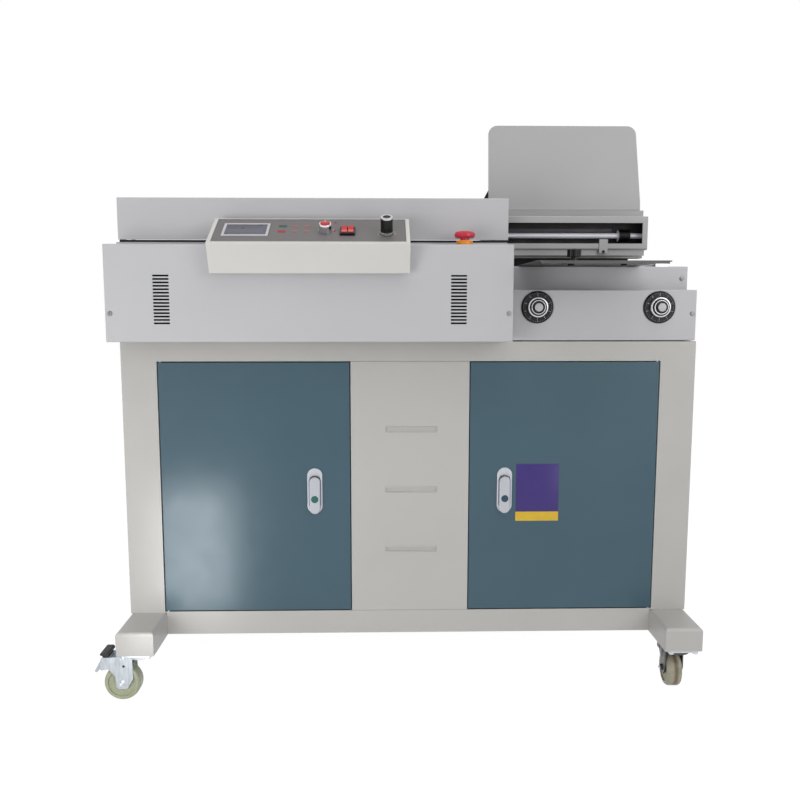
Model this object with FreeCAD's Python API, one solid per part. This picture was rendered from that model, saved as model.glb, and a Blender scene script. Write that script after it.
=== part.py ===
import FreeCAD
import Part
import math
import os

from FreeCAD import Placement, Rotation, Vector

# Floor-standing book binder, millimetres. X runs to the right, Y away from the operator, Z up.
# The origin is on the floor, below the middle of the cabinet's front edge.

# Shared values
overrun = 5.0
joint_gap = 0.4
running_fit = 0.06
slide_gap = 0.3
least_length = 1e-9
full_round_share = 0.999
x_axis = Vector(1, 0, 0)
y_axis = Vector(0, 1, 0)
z_axis = Vector(0, 0, 1)

# Cabinet
cabinet_width = 1200.0
cabinet_depth = 420.0
cabinet_top = 740.0
cabinet_sheet = 1.5
stile_width = 73.4
top_rail_height = 41.0
jamb_depth = 20.0
flange_width = 25.0
panel_width = 249.2
door_height = 536.0
door_gap = 2.0
door_depth = 18.0
door_sheet = 1.2
door_edge_radius = 1.0
door_pin_radius = 2.4
door_pin_inset = 4.5
door_pin_length = 12.0
door_washer_radius = 3.8
rib_length = 109.0
rib_height = 14.0
rib_rise = 1.6
rib_left = -52.0
rib_drops = (185.0, 314.5, 444.0)
wall_setback = 32.0
rear_slot_length = 70.0
rear_slot_height = 5.0
rear_slot_pitch = 14.0
rear_slot_count = 6
rear_slot_inset = 270.0
rear_slot_drop = 120.0
gland_outer_radius = 14.0
gland_bore_radius = 6.0
gland_length = 16.0
gland_inset = 180.0
gland_rise = 110.0

# Feet and casters
foot_width = 76.5
foot_height = 49.0
foot_wall = 2.5
foot_lip = 14.0
foot_reach_front = 107.0
foot_reach_back = 60.0
foot_edge_radius = 7.0
wheel_radius = 37.5
wheel_width = 32.0
wheel_edge_radius = 8.0
wheel_hub_radius = 11.0
wheel_web_sink = 3.0
wheel_rim = 9.0
caster_height = 107.0
caster_trail = 37.0
caster_inset = 41.0
caster_plate_length = 92.0
caster_plate_width = 64.0
caster_plate_thick = 3.0
caster_plate_corner = 6.0
race_radius = 27.0
race_height = 3.0
crown_radius = 25.0
crown_height = 9.0
fork_sheet = 2.5
fork_gap = 0.6
fork_bridge = 3.0
axle_radius = 4.0
axle_head_radius = 6.5
axle_head_height = 3.0
fork_end_radius = 11.0
fork_bridge_share = 1.2
fork_leg_shares = ((0.38, 1, 0), (2.1, 1, 0.45), (2.15, 0.515, 0.27), (1.68, 0.554, 0.55),
                   (1.33, 0.295, 0), (1.297, 0.038, 0.36), (1.268, -0.192, 0.75),
                   (0.673, -0.192, 0.75), (0.34, 0.197, 0.45))
pedal_pin_radius = 2.5
pedal_pin_x = 52.0
pedal_pin_drop = 28.0
pedal_half_width = 22.0
pedal_arm_shares = ((-1.6, -0.9, 0.6), (10, -2.4, 0), (14, -7, 1), (16, -6, 1), (11, 3, 1),
                    (-1.6, 1.6, 0.6))
pedal_tread_shares = (2.6, 10.0, 10.5, 4.0)
pedal_tread_thick = 10.5
pedal_travel = 12.0
pedal_neck_shares = (4, 9)
caster_headings = (180.0, 86.0, 90.0, 60.0)

# Door locks
lock_width = 32.0
lock_height = 98.0
lock_plate = 3.0
lock_inset = 74.9
lock_drop = 316.0
lever_width = 23.0
lever_length = 80.0
lever_thick = 6.6
lever_pivot_drop = 4.0
lever_cheek = 4.6
lever_web = 1.4
spindle_radius = 4.0
spindle_head_radius = 1.7
spindle_nut_radius = 11.0
spindle_nut_length = 12.0
recess_radius = 10.8
recess_depth = 2.3
cam_length = 84.0
cam_width = 16.0
cam_thick = 3.0
cam_setback = 23.0
lock_button_radius = 7.3
lock_button_drop = 66.0
lock_button_proud = 0.6
lock_button_length = 4.4

# Head, heights above the cabinet top
head_overhang = 1.0
right_head_length = 399.0
right_panel_inset = 3.0
head_back = 398.0
cover_sheet = 1.2
bend_radius = 2.2
cover_front = -80.0
cover_lift = 3.0
cover_rise = 194.0
ledge_back = 4.0
ledge_lip = 15.0
vent_count = 15
vent_pitch = 6.64
vent_length = 31.5
vent_height = 3.5
vent_left_inset = 110.0
vent_right_inset = 107.5
vent_rise = 86.5
step_one_rise = 107.0
step_one_back = 50.0
step_two_rise = 157.0
step_two_inset = 6.0
step_two_back = 104.0
panel_lift = 2.0
rear_vent_count = 9

# Hood
hood_inset = 5.0
hood_front = 0.0
hood_low_rise = 208.0
hood_high_rise = 292.0
hood_depth = 104.0
hood_end_flange = 8.0
hood_rear_lip = 12.0
hinge_y = 111.0
hinge_rise = 284.0
knuckle_radius = 4.5
hinge_pin_radius = 2.5
bridge_depth = 12.0
bridge_low_rise = 270.0
bridge_high_rise = 279.0
post_width = 18.0
post_front = 8.0
post_back = 40.0
post_inset = 3.0
knuckle_length = 60.0
knuckle_shares = (0.12, 0.46, 0.8)
ear_length = 10.0
left_post_width = 6.0

# Control box on the front cover
box_inset = 205.0
box_length = 388.0
box_front_top = (-127.0, 193.0)
box_back_top = (-24.0, 249.5)
box_front_low = (-100.0, 136.0)
box_sheet = 1.5
fascia_side_rim = 8.0
fascia_front_rim = 7.0
fascia_back_rim = 6.0
fascia_thick = 1.5
fascia_sink = 0.5
display_inset = 24.0
display_length = 90.0
display_low = 31.0
display_high = 88.0
display_frame = 5.0
display_frame_thick = 1.2
display_glass_thick = 0.8
selector_inset = 164.0
selector_s = 52.0
selector_radius = 12.4
selector_height = 19.0
selector_shares = ((1, 0.75), (0.93, 0.9), (0.73, 0.9), (0.65, 1), (0, 1))
speed_inset = 45.0
speed_s = 44.0
speed_radius = 11.8
speed_skirt_radius = 12.6
speed_height = 34.0
speed_skirt_height = 6.0
speed_shares = ((1, 0.21), (1, 0.94), (0.92, 1), (0.62, 1), (0.55, 0.97), (0, 0.97))
rocker_inset = 121.0
rocker_s = 50.0
rocker_width = 11.0
rocker_length = 22.0
rocker_gap = 1.6
rocker_rise = 8.0
rocker_sink = 7.0
rocker_tilt = 9.0
rocker_lip_radius = 1.0
rocker_stud_radius = 1.5
rocker_stud_reach = 0.5
rocker_dip_share = 0.72
rocker_foot_share = 0.4
rocker_sink_share = 0.6
bezel_width = 29.0
bezel_length = 31.0
bezel_height = 4.5

# Emergency stop on the ledge
stop_inset = 94.0
stop_y = -45.0
stop_collar_radius = 16.5
stop_collar_height = 9.5
stop_cap_radius = 20.5
stop_cap_height = 13.0
stop_stem_radius = 9.0
stop_travel = 5.0
stop_cap_shares = ((0.88, 0), (1, 0.25), (1, 0.6), (0.86, 0.9), (0.6, 1), (0, 1))

# Graduated dials on the right panel
dial_inset = 81.0
dial_pitch = 255.0
dial_rise = 71.0
dial_flange_radius = 33.5
dial_flange_thick = 4.0
dial_knob_radius = 19.5
dial_ring_radius = 14.0
dial_nose_radius = 8.5
dial_depth = 20.0
dial_depth_shares = (0.55, 0.62, 0.8)
dial_shaft_radius = 5.0

# Rails and clamp carriage
rail_radius = 12.5
rail_rise = 140.0
rail_front_y = 215.0
rail_back_y = 305.0
rail_block_width = 28.0
rail_right_inset = 29.0
rail_left_inset = 10.0
rail_block_front = 105.0
rail_block_back = 332.0
rail_block_rise = 171.5
clamp_inset = 94.0
clamp_length = 341.0
jaw_front = 52.0
jaw_back = 105.0
jaw_low_rise = 180.0
jaw_box_rise = 192.0
jaw_top_rise = 262.0
jaw_sheet = 2.0
jaw_plate = 5.0
window_low_rise = 205.0
window_high_rise = 248.0
window_side = 7.0
window_inset = 11.0
jaw_skirt_inset = 5.0
tie_shaft_radius = 6.0
tie_shaft_y = 78.0
tie_shaft_rise = 223.0
collar_radius = 12.5
collar_inset = 34.0
collar_length = 23.0
guide_rod_radius = 7.0
guide_rod_inset = 13.0
guide_rod_back = 222.0
guide_boss_radius = 11.9
slot_back = 165.0
back_jaw_depth = 30.0
back_jaw_reach = 25.0
back_jaw_rise = 286.0
back_jaw_wall = 6.0
bracket_inset = 103.0
bracket_width = 18.0
bracket_low_rise = 184.0
bracket_high_rise = 214.0
rest_inset = 17.0
rest_reach = 20.0
rest_taper = 11.0
rest_top_rise = 478.0
rest_foot = 22.0
rest_lean = 6.0
rest_sheet = 2.5
rest_corner_radius = 20.0
frame_plate_y = 197.0
frame_plate_thick = 6.0
frame_plate_rise = 339.0
frame_shoulder = 22.0
frame_taper = 10.0
frame_corner_radius = 4.0
frame_base_rise = 157.0
frame_base_thick = 10.0
frame_base_back = 328.0
bearing_length = 60.0
bearing_half_width = 21.0
bearing_drop = 38.0
gusset_thick = 6.0
gusset_rise = 300.0
gusset_inset = 30.0

# Cover feed tray and nip table
tray_inset = 16.0
tray_length = 256.0
tray_front = -155.0
tray_rise = 158.0
tray_thick = 2.0
tray_lip = 6.0
nip_left_inset = 15.0
nip_right_inset = 6.0
nip_back = 162.0
nip_thick = 12.0
lift_radius = 10.0
lift_inset = 45.0
lift_depth = 60.0
tray_knob_inset = 96.0
tray_knob_y = -35.0
tray_knob_radius = 14.0
tray_knob_height = 15.0
tray_stem_radius = 4.0
tray_stem_height = 10.0
tray_shoulder_radius = 6.8
tray_knob_flutes = 6
flute_reach_share = 1.18
flute_size_share = 0.36
tray_guide_length = 34.0
tray_guide_width = 16.0

# Spine milling and glue stations
cutter_inset = 105.0
cutter_radius = 46.0
cutter_thick = 6.0
cutter_top_rise = 176.0
cutter_tooth_count = 8
cutter_tooth_size = 7.0
cutter_shaft_radius = 8.0
motor_radius = 36.0
motor_height = 110.0
motor_foot = 92.0
motor_foot_thick = 8.0
tank_inset = 120.0
tank_length = 240.0
tank_half_width = 36.0
tank_rise = 168.0
tank_base_rise = 92.0
tank_wall = 5.0
tank_leg = 14.0
roller_radius = 24.0
roller_length = 52.0
roller_groove_width = 30.0
roller_groove_depth = 1.2
roller_top_rise = 174.0
roller_shaft_radius = 6.0

# Values worked out from the sizes above
half_width = cabinet_width / 2
opening_half = half_width - stile_width
door_outer = opening_half - door_gap
panel_half = panel_width / 2
door_inner = panel_half + door_gap
lock_offset = door_inner + lock_inset
opening_top = cabinet_top - top_rail_height
door_top = opening_top - door_gap
door_bottom = door_top - door_height
opening_bottom = door_bottom - door_gap
foot_top = caster_height + foot_height
foot_inner = half_width - foot_width
rail_bottom = caster_height + door_gap
cabinet_back_y = cabinet_depth - cabinet_sheet
deck_low = cabinet_top - cabinet_sheet
gland_x = gland_inset - half_width
rear_slot_centre_x = half_width - rear_slot_inset
head_left = -(half_width + head_overhang)
head_split = half_width - right_head_length
head_right = half_width - right_panel_inset
step_two_right = half_width - step_two_inset
vent_left_x = head_left + vent_left_inset
vent_right_x = head_split - vent_right_inset
hood_left = hood_inset - half_width
hood_right = head_split
post_right = head_split - post_inset
stop_x = head_split - stop_inset
box_right = head_split - box_inset
box_left = box_right - box_length
display_left = box_left + display_inset
display_right = display_left + display_length
selector_x = box_right - selector_inset
speed_x = box_right - speed_inset
rocker_x = box_right - rocker_inset
dial_right_x = half_width - dial_inset
dial_left_x = dial_right_x - dial_pitch
rail_block_right = half_width - rail_right_inset
rail_block_left = rail_left_inset - half_width
clamp_right = half_width - clamp_inset
clamp_left = clamp_right - clamp_length
window_right = clamp_right - window_inset
collar_right = clamp_right - collar_inset
collar_left = collar_right - collar_length
back_jaw_right = clamp_right + back_jaw_reach
bracket_left = clamp_right - bracket_inset
rest_left = clamp_left + rest_inset
rest_right = clamp_right + rest_reach
rest_top_right = rest_right - rest_taper
nip_left = clamp_left + nip_left_inset
nip_right = clamp_right - nip_right_inset
tray_right = clamp_right - tray_inset
tray_left = tray_right - tray_length
tray_knob_x = tray_left + tray_knob_inset
cutter_x = clamp_left - cutter_inset
tank_right = cutter_x - tank_inset
tank_left = tank_right - tank_length
roller_x = (tank_left + tank_right) / 2
slot_y = (jaw_back + slot_back) / 2
frame_plate_back = frame_plate_y + frame_plate_thick
caster_x = half_width - foot_width / 2
caster_front_y = caster_inset - foot_reach_front
caster_back_y = cabinet_depth + foot_reach_back - caster_inset
lock_centre = cabinet_top - lock_drop
lock_top = lock_centre + lock_height / 2
lever_top = lock_centre - lock_height / 2 + lever_length
lock_pivot_z = lever_top - lever_pivot_drop
lever_back = -lock_plate - slide_gap
lever_front = lever_back - lever_thick
lever_mid = (lever_back + lever_front) / 2
slope_run = box_back_top[0] - box_front_top[0]
slope_rise = box_back_top[1] - box_front_top[1]
slope_length = math.hypot(slope_run, slope_rise)
slope_angle = math.degrees(math.atan2(slope_rise, slope_run))
fork_top = caster_height - caster_plate_thick - race_height - slide_gap
fork_low = fork_top - crown_height
leg_inner = wheel_width / 2 + fork_gap
leg_outer = leg_inner + fork_sheet
pedal_pin_z = caster_height - pedal_pin_drop
pin_x = door_outer - door_pin_inset


def above(rise):
    """Height above the floor of something that stands so far above the cabinet top."""
    return cabinet_top + rise


def block(x0, x1, y0, y1, z0, z1):
    return Part.makeBox(x1 - x0, y1 - y0, z1 - z0, Vector(x0, y0, z0))


def rod(radius, start, end):
    run = end - start
    return Part.makeCylinder(radius, run.Length, start, run)


def upright(radius, x, y, z0, z1):
    """Cylinder standing on z0."""
    return Part.makeCylinder(radius, z1 - z0, Vector(x, y, z0))


def crosswise(radius, y, z, x0, x1):
    """Cylinder lying along X."""
    return Part.makeCylinder(radius, x1 - x0, Vector(x0, y, z), x_axis)


def fore_and_aft(radius, x, z, y0, y1):
    """Cylinder lying along Y."""
    return Part.makeCylinder(radius, y1 - y0, Vector(x, y0, z), y_axis)


def closed_wire(points):
    return Part.makePolygon(list(points) + [points[0]])


def corner_turn(before, corner, after):
    """Start, middle and end of the arc at one corner; all three are the corner if it is sharp."""
    u, v, radius = corner
    point = Vector(u, v, 0)
    if radius <= 0:
        return point, point, point
    back = Vector(before[0] - u, before[1] - v, 0).normalize()
    ahead = Vector(after[0] - u, after[1] - v, 0).normalize()
    half = back.getAngle(ahead) / 2
    reach = radius / math.tan(half)
    inward = (back + ahead).normalize()
    middle = point + inward * (radius / math.sin(half) - radius)
    return point + back * reach, middle, point + ahead * reach


def rounded_wire(corners, place):
    """Closed wire through (u, v, radius) corners, each turned into a point by place."""
    count = len(corners)
    turns = [corner_turn(corners[index - 1], corner, corners[(index + 1) % count])
             for index, corner in enumerate(corners)]
    edges = []
    for index, (start, middle, end) in enumerate(turns):
        if not start.isEqual(end, least_length):
            edges.append(Part.Arc(*[place(p.x, p.y) for p in (start, middle, end)]).toShape())
        follow = turns[(index + 1) % count][0]
        if not end.isEqual(follow, least_length):
            line = Part.LineSegment(place(end.x, end.y), place(follow.x, follow.y))
            edges.append(line.toShape())
    return Part.Wire(edges)


def side_prism(corners, x0, x1):
    """Outline of (y, z, radius) corners carried from x0 to x1."""
    wire = rounded_wire(corners, lambda y, z: Vector(x0, y, z))
    return Part.Face(wire).extrude(Vector(x1 - x0, 0, 0))


def front_prism(corners, y0, y1):
    """Outline of (x, z, radius) corners carried from y0 to y1."""
    wire = rounded_wire(corners, lambda x, z: Vector(x, y0, z))
    return Part.Face(wire).extrude(Vector(0, y1 - y0, 0))


def plan_prism(corners, z0, z1):
    """Outline of (x, y, radius) corners carried from z0 to z1."""
    wire = rounded_wire(corners, lambda x, y: Vector(x, y, z0))
    return Part.Face(wire).extrude(Vector(0, 0, z1 - z0))


def sheet_corners(path, thickness, bend, side):
    """Closed outline of a folded sheet: its outer skin, and the same line offset to one side."""
    skin = [Vector(u, v, 0) for u, v in path]
    count = len(skin)
    normals = []
    for start, end in zip(skin, skin[1:]):
        run = (end - start).normalize()
        normals.append(Vector(-run.y * side, run.x * side, 0))
    inner = [skin[0] + normals[0] * thickness]
    for index in range(1, count - 1):
        bisector = (normals[index - 1] + normals[index]).normalize()
        reach = thickness / bisector.dot(normals[index])
        inner.append(skin[index] + bisector * reach)
    inner.append(skin[-1] + normals[-1] * thickness)
    corners = []
    for index, point in enumerate(skin):
        corners.append((point.x, point.y, bend if 0 < index < count - 1 else 0))
    for index, point in reversed(list(enumerate(inner))):
        inner_bend = bend - thickness
        corners.append((point.x, point.y, inner_bend if 0 < index < count - 1 else 0))
    return corners


def oblong(half_width_x, z0, z1, y0, y1, x=0.0):
    """Upright plate with round ends."""
    radius = half_width_x * full_round_share
    corners = [(x - half_width_x, z0, radius), (x + half_width_x, z0, radius),
               (x + half_width_x, z1, radius), (x - half_width_x, z1, radius)]
    return front_prism(corners, y0, y1)


def mirrored(shape):
    return shape.mirror(Vector(0, 0, 0), x_axis)


def round_edges(shape, radius, pick):
    """Fillet the edges whose end points all pass the test."""
    chosen = [edge for edge in shape.Edges if all(pick(vertex.Point) for vertex in edge.Vertexes)]
    return shape.makeFillet(radius, chosen)


def turned(profile, base, axis):
    """Solid of revolution about axis from base; profile corners are radius, height, rounding."""
    corners = [(*corner, 0)[:3] for corner in profile]
    face = Part.Face(rounded_wire(corners, lambda r, h: Vector(r, 0, h)))
    solid = face.revolve(Vector(0, 0, 0), z_axis, 360)
    solid.Placement = Placement(base, Rotation(z_axis, axis))
    return solid


def bevel_edges(shape, size, pick):
    """Chamfer the edges whose end points all pass the test."""
    chosen = [edge for edge in shape.Edges if all(pick(vertex.Point) for vertex in edge.Vertexes)]
    return shape.makeChamfer(size, chosen)


def scaled_profile(shares, radius, height):
    """Turned profile from shares of a radius and a height."""
    return [(radius * out, height * up) for out, up in shares]


def save(name, shape):
    solids = shape.Solids
    result = solids[0] if len(solids) == 1 else Part.makeCompound(solids)
    result.exportStep("parts/" + name + ".step")


# Feet and casters


def make_foot_beams():
    """Two long channels, lipped below, that carry the cabinet and take the casters."""
    front = -foot_reach_front
    back = cabinet_depth + foot_reach_back
    beam = block(foot_inner, half_width, front, back, caster_height, foot_top)
    beam = round_edges(beam, foot_edge_radius, lambda p: p.z > foot_top - joint_gap)
    hollow = block(foot_inner + foot_wall, half_width - foot_wall, front + foot_wall,
                   back - foot_wall, caster_height - overrun, foot_top - foot_wall)
    beam = beam.cut(hollow)
    for x in (foot_inner + foot_wall, half_width - foot_wall - foot_lip):
        lip = block(x, x + foot_lip, front + foot_wall, back - foot_wall,
                    caster_height, caster_height + foot_wall)
        beam = beam.fuse(lip)
    beam = beam.removeSplitter()
    return Part.makeCompound([beam, mirrored(beam)])


def make_caster_plates():
    """Plate and ball race of each caster, bolted below the feet."""
    plates = []
    half_w = caster_plate_width / 2
    half_l = min(caster_plate_length / 2, caster_inset)
    low = caster_height - caster_plate_thick
    for x in (-caster_x, caster_x):
        for y in (caster_front_y, caster_back_y):
            corners = [(x - half_w, y - half_l, caster_plate_corner),
                       (x + half_w, y - half_l, caster_plate_corner),
                       (x + half_w, y + half_l, caster_plate_corner),
                       (x - half_w, y + half_l, caster_plate_corner)]
            plate = plan_prism(corners, low, caster_height)
            plates.append(plate.fuse(upright(race_radius, x, y, low - race_height, low)))
    return Part.makeCompound(plates)


def at_caster(shape, x, y, angle):
    placed = shape.copy()
    placed.Placement = Placement(Vector(x, y, 0), Rotation(z_axis, angle)).multiply(placed.Placement)
    return placed


def fork_leg_outline():
    span = fork_low + fork_bridge - wheel_radius
    return [(caster_trail * along, wheel_radius + span * up, fork_end_radius * round_off)
            for along, up, round_off in fork_leg_shares]


def make_fork():
    """Pressed swivel fork, its trail along +X, with the axle bolt and the brake's pin."""
    fork = upright(crown_radius, 0, 0, fork_low, fork_low + crown_height)
    bridge_end = caster_trail * fork_bridge_share
    fork = fork.fuse(block(0, bridge_end, -leg_outer, leg_outer, fork_low, fork_low + fork_bridge))
    for side in (1, -1):
        y0, y1 = sorted((side * leg_inner, side * leg_outer))
        fork = fork.fuse(front_prism(fork_leg_outline(), y0, y1))
    bolt_end = leg_outer + axle_head_height
    fork = fork.fuse(fore_and_aft(axle_radius, caster_trail, wheel_radius, -leg_outer, leg_outer))
    for y0, y1 in ((leg_outer, bolt_end), (-bolt_end, -leg_outer)):
        fork = fork.fuse(fore_and_aft(axle_head_radius, caster_trail, wheel_radius, y0, y1))
    pin = fore_and_aft(pedal_pin_radius, pedal_pin_x, pedal_pin_z, -leg_outer, leg_outer)
    return fork.fuse(pin).removeSplitter()


def make_wheel():
    """Solid wheel with a sunk web and a crowned tread."""
    half = wheel_width / 2
    rim_in = wheel_radius - wheel_rim
    sink = half - wheel_web_sink
    bore = axle_radius + running_fit
    side = [(bore, half), (wheel_hub_radius, sink), (rim_in, sink), (rim_in, half),
            (wheel_radius, half, wheel_edge_radius)]
    profile = [(corner[0], -corner[1], *corner[2:]) for corner in side] + side[::-1]
    return turned(profile, Vector(caster_trail, 0, wheel_radius), y_axis)


def about_pin(shares, z):
    """Corners set out round the pedal's pin in shares of its radius."""
    size = pedal_pin_radius
    return [(pedal_pin_x + size * along, z + size * up, size * round_off)
            for along, up, round_off in shares]


def tread_underside(along):
    """Height of the tread's underside, which comes to lie level on the fork when pressed."""
    travel = math.radians(pedal_travel)
    level = fork_low + fork_bridge + slide_gap - pedal_pin_z
    return pedal_pin_z + (level + along * math.sin(travel)) / math.cos(travel)


def make_pedal():
    """Brake pedal: a padded tread outside the fork and an arm on the pin."""
    arm_half = leg_inner - fork_gap
    arm = front_prism(about_pin(pedal_arm_shares, pedal_pin_z), -arm_half, arm_half)
    arm = arm.cut(fore_and_aft(pedal_pin_radius + running_fit, pedal_pin_x, pedal_pin_z,
                               -arm_half - overrun, arm_half + overrun))
    tread_top = fork_low + fork_bridge + slide_gap + pedal_tread_thick
    near, far, top_far, top_near = [pedal_pin_radius * share for share in pedal_tread_shares]
    corners = [(near, tread_underside(near)), (far, tread_underside(far)),
               (top_far, tread_top), (top_near, tread_top)]
    outline = [(pedal_pin_x + along, z, pedal_pin_radius) for along, z in corners]
    tread = front_prism(outline, -pedal_half_width, pedal_half_width)
    neck_start, neck_end = [pedal_pin_radius * share for share in pedal_neck_shares]
    neck = block(pedal_pin_x + neck_start, pedal_pin_x + neck_end, -arm_half, arm_half,
                 pedal_pin_z, tread_underside(neck_end) + joint_gap)
    return arm.fuse(neck).fuse(tread).removeSplitter()


# Cabinet


def flanged_wall(x, front):
    """Upright sheet with its outer skin at x, folded inwards at the top and the bottom."""
    low = foot_top + cabinet_sheet
    path = [(x - flange_width, low), (x, low), (x, deck_low), (x - flange_width, deck_low)]
    corners = sheet_corners(path, cabinet_sheet, cabinet_sheet + joint_gap, 1)
    return front_prism(corners, front, cabinet_back_y)


def make_cabinet_sides():
    """Folded side sheets with a flange at the top and the bottom."""
    side = flanged_wall(half_width, cabinet_sheet)
    return Part.makeCompound([side, mirrored(side)])


def make_cabinet_floor():
    """Flat floor sheet, from behind the jamb to the rear sheet."""
    return block(-half_width, half_width, jamb_depth + door_gap, cabinet_back_y,
                 foot_top, foot_top + cabinet_sheet)


def foot_notches(y0, y1):
    """Space that the two foot beams take out of the front and back sheets."""
    notch = block(foot_inner, half_width + overrun, y0 - overrun, y1 + overrun,
                  rail_bottom - overrun, foot_top)
    return notch.fuse(mirrored(notch))


def make_front_frame():
    """Front sheet with one wide door opening and a folded jamb round it."""
    face = block(-half_width, half_width, 0, cabinet_sheet, rail_bottom, cabinet_top)
    jamb_out = opening_half + cabinet_sheet
    jamb = block(-jamb_out, jamb_out, 0, jamb_depth,
                 opening_bottom - cabinet_sheet, opening_top + cabinet_sheet)
    opening = block(-opening_half, opening_half, -overrun, jamb_depth + overrun,
                    opening_bottom, opening_top)
    lip = block(-foot_inner, foot_inner, 0, jamb_depth, rail_bottom, rail_bottom + cabinet_sheet)
    frame = face.fuse(jamb).fuse(lip).cut(opening).cut(foot_notches(0, jamb_depth))
    return frame.removeSplitter()


def make_centre_panel():
    """Fixed panel between the doors, with three pressed ribs."""
    low = opening_bottom + joint_gap
    high = opening_top - joint_gap
    panel = block(-panel_half, panel_half, 0, jamb_depth, low, high)
    panel = panel.cut(block(cabinet_sheet - panel_half, panel_half - cabinet_sheet, cabinet_sheet,
                            jamb_depth + overrun, low - overrun, high + overrun))
    rib_right = rib_left + rib_length
    for drop in rib_drops:
        z0 = cabinet_top - drop - rib_height / 2
        z1 = z0 + rib_height
        rib = side_prism([(0, z0, 0), (0, z1, 0), (-rib_rise, z1 - rib_rise, 0),
                          (-rib_rise, z0 + rib_rise, 0)], rib_left, rib_right)
        slot = block(rib_left + rib_rise, rib_right - rib_rise, -rib_rise - overrun,
                     cabinet_sheet / 2, z0 + rib_rise * 2, z1 - rib_rise * 2)
        panel = panel.fuse(rib).cut(slot)
    return panel.removeSplitter()


def make_inner_walls():
    """Two upright walls that part the door compartments from the middle bay."""
    wall = flanged_wall(panel_half - cabinet_sheet, wall_setback)
    return Part.makeCompound([wall, mirrored(wall)])


def make_cabinet_back():
    """Rear sheet with air slots and the gland for the supply lead."""
    sheet = block(-half_width, half_width, cabinet_back_y, cabinet_depth, rail_bottom, deck_low)
    sheet = sheet.cut(foot_notches(cabinet_back_y, cabinet_depth))
    for middle in (-rear_slot_centre_x, rear_slot_centre_x):
        for row in range(rear_slot_count):
            z = cabinet_top - rear_slot_drop - row * rear_slot_pitch
            slot = block(middle - rear_slot_length / 2, middle + rear_slot_length / 2,
                         cabinet_back_y - overrun, cabinet_depth + overrun,
                         z - rear_slot_height / 2, z + rear_slot_height / 2)
            sheet = sheet.cut(slot)
    gland_z = rail_bottom + gland_rise
    gland_end = cabinet_depth + gland_length
    sheet = sheet.fuse(fore_and_aft(gland_outer_radius, gland_x, gland_z, cabinet_back_y, gland_end))
    bore = fore_and_aft(gland_bore_radius, gland_x, gland_z, cabinet_back_y - overrun,
                        gland_end + overrun)
    return sheet.cut(bore).removeSplitter()


def lift_places():
    return (nip_left + lift_inset, nip_right - lift_inset)


def make_top_deck():
    """Top sheet, bored for the lifting columns."""
    deck = block(-half_width, half_width, cabinet_sheet, cabinet_depth, deck_low, cabinet_top)
    for x in lift_places():
        deck = deck.cut(upright(lift_radius + slide_gap, x, slot_y, deck_low - overrun,
                                cabinet_top + overrun))
    return deck


def make_door_hinges():
    """Four upright pins with their washers on the jamb."""
    pins = []
    washer = door_gap - slide_gap
    y = door_pin_inset
    for x in (-pin_x, pin_x):
        high = upright(door_pin_radius, x, y, opening_top - door_pin_length, opening_top)
        low = upright(door_pin_radius, x, y, opening_bottom, opening_bottom + door_pin_length)
        high = high.fuse(upright(door_washer_radius, x, y, opening_top - washer, opening_top))
        low = low.fuse(upright(door_washer_radius, x, y, opening_bottom, opening_bottom + washer))
        pins += [high, low]
    return Part.makeCompound(pins)


def make_right_door():
    """Door folded as a shallow pan, pinned at its outer edge, with a hole for the lock."""
    door = block(door_inner, door_outer, 0, door_depth, door_bottom, door_top)
    door = round_edges(door, door_edge_radius, lambda p: p.y < joint_gap)
    hollow = block(door_inner + door_sheet, door_outer - door_sheet, door_sheet,
                   door_depth + overrun, door_bottom + door_sheet, door_top - door_sheet)
    hole = upright(door_pin_radius + running_fit, pin_x, door_pin_inset,
                   door_bottom - overrun, door_top + overrun)
    lock_hole = fore_and_aft(spindle_nut_radius + slide_gap, lock_offset, lock_pivot_z,
                             -overrun, overrun)
    return door.cut(hollow).cut(hole).cut(lock_hole)


# Door locks


def make_lock_base(x):
    """Oblong plate on the door, with the threaded body behind it and a round recess."""
    face = -lock_plate
    plate = oblong(lock_width / 2, lock_top - lock_height, lock_top, face, 0, x)
    plate = bevel_edges(plate, lock_plate / 4, lambda p: p.y < face + joint_gap)
    base = plate.fuse(fore_and_aft(spindle_nut_radius, x, lock_pivot_z, 0, spindle_nut_length))
    recess = fore_and_aft(recess_radius, x, lock_pivot_z, face - overrun, face + recess_depth)
    bore = fore_and_aft(spindle_radius + running_fit, x, lock_pivot_z, face - overrun,
                        spindle_nut_length + overrun)
    return base.cut(recess).cut(bore)


def make_lock_spindle(x):
    """Spindle with the lever's cross pin in front and the cam tongue behind."""
    z = lock_pivot_z
    r = spindle_head_radius
    cam_back = cam_setback + cam_thick
    shaft = fore_and_aft(spindle_radius, x, z, lever_mid + r / 2, cam_back + overrun)
    pin = crosswise(r, lever_mid, z, x - lever_width / 3, x + lever_width / 3)
    cam = block(x - cam_width / 2, x + cam_width / 2, cam_setback, cam_back,
                z - cam_length, z + cam_width / 2)
    return shaft.fuse(pin).fuse(cam).removeSplitter()


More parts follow.
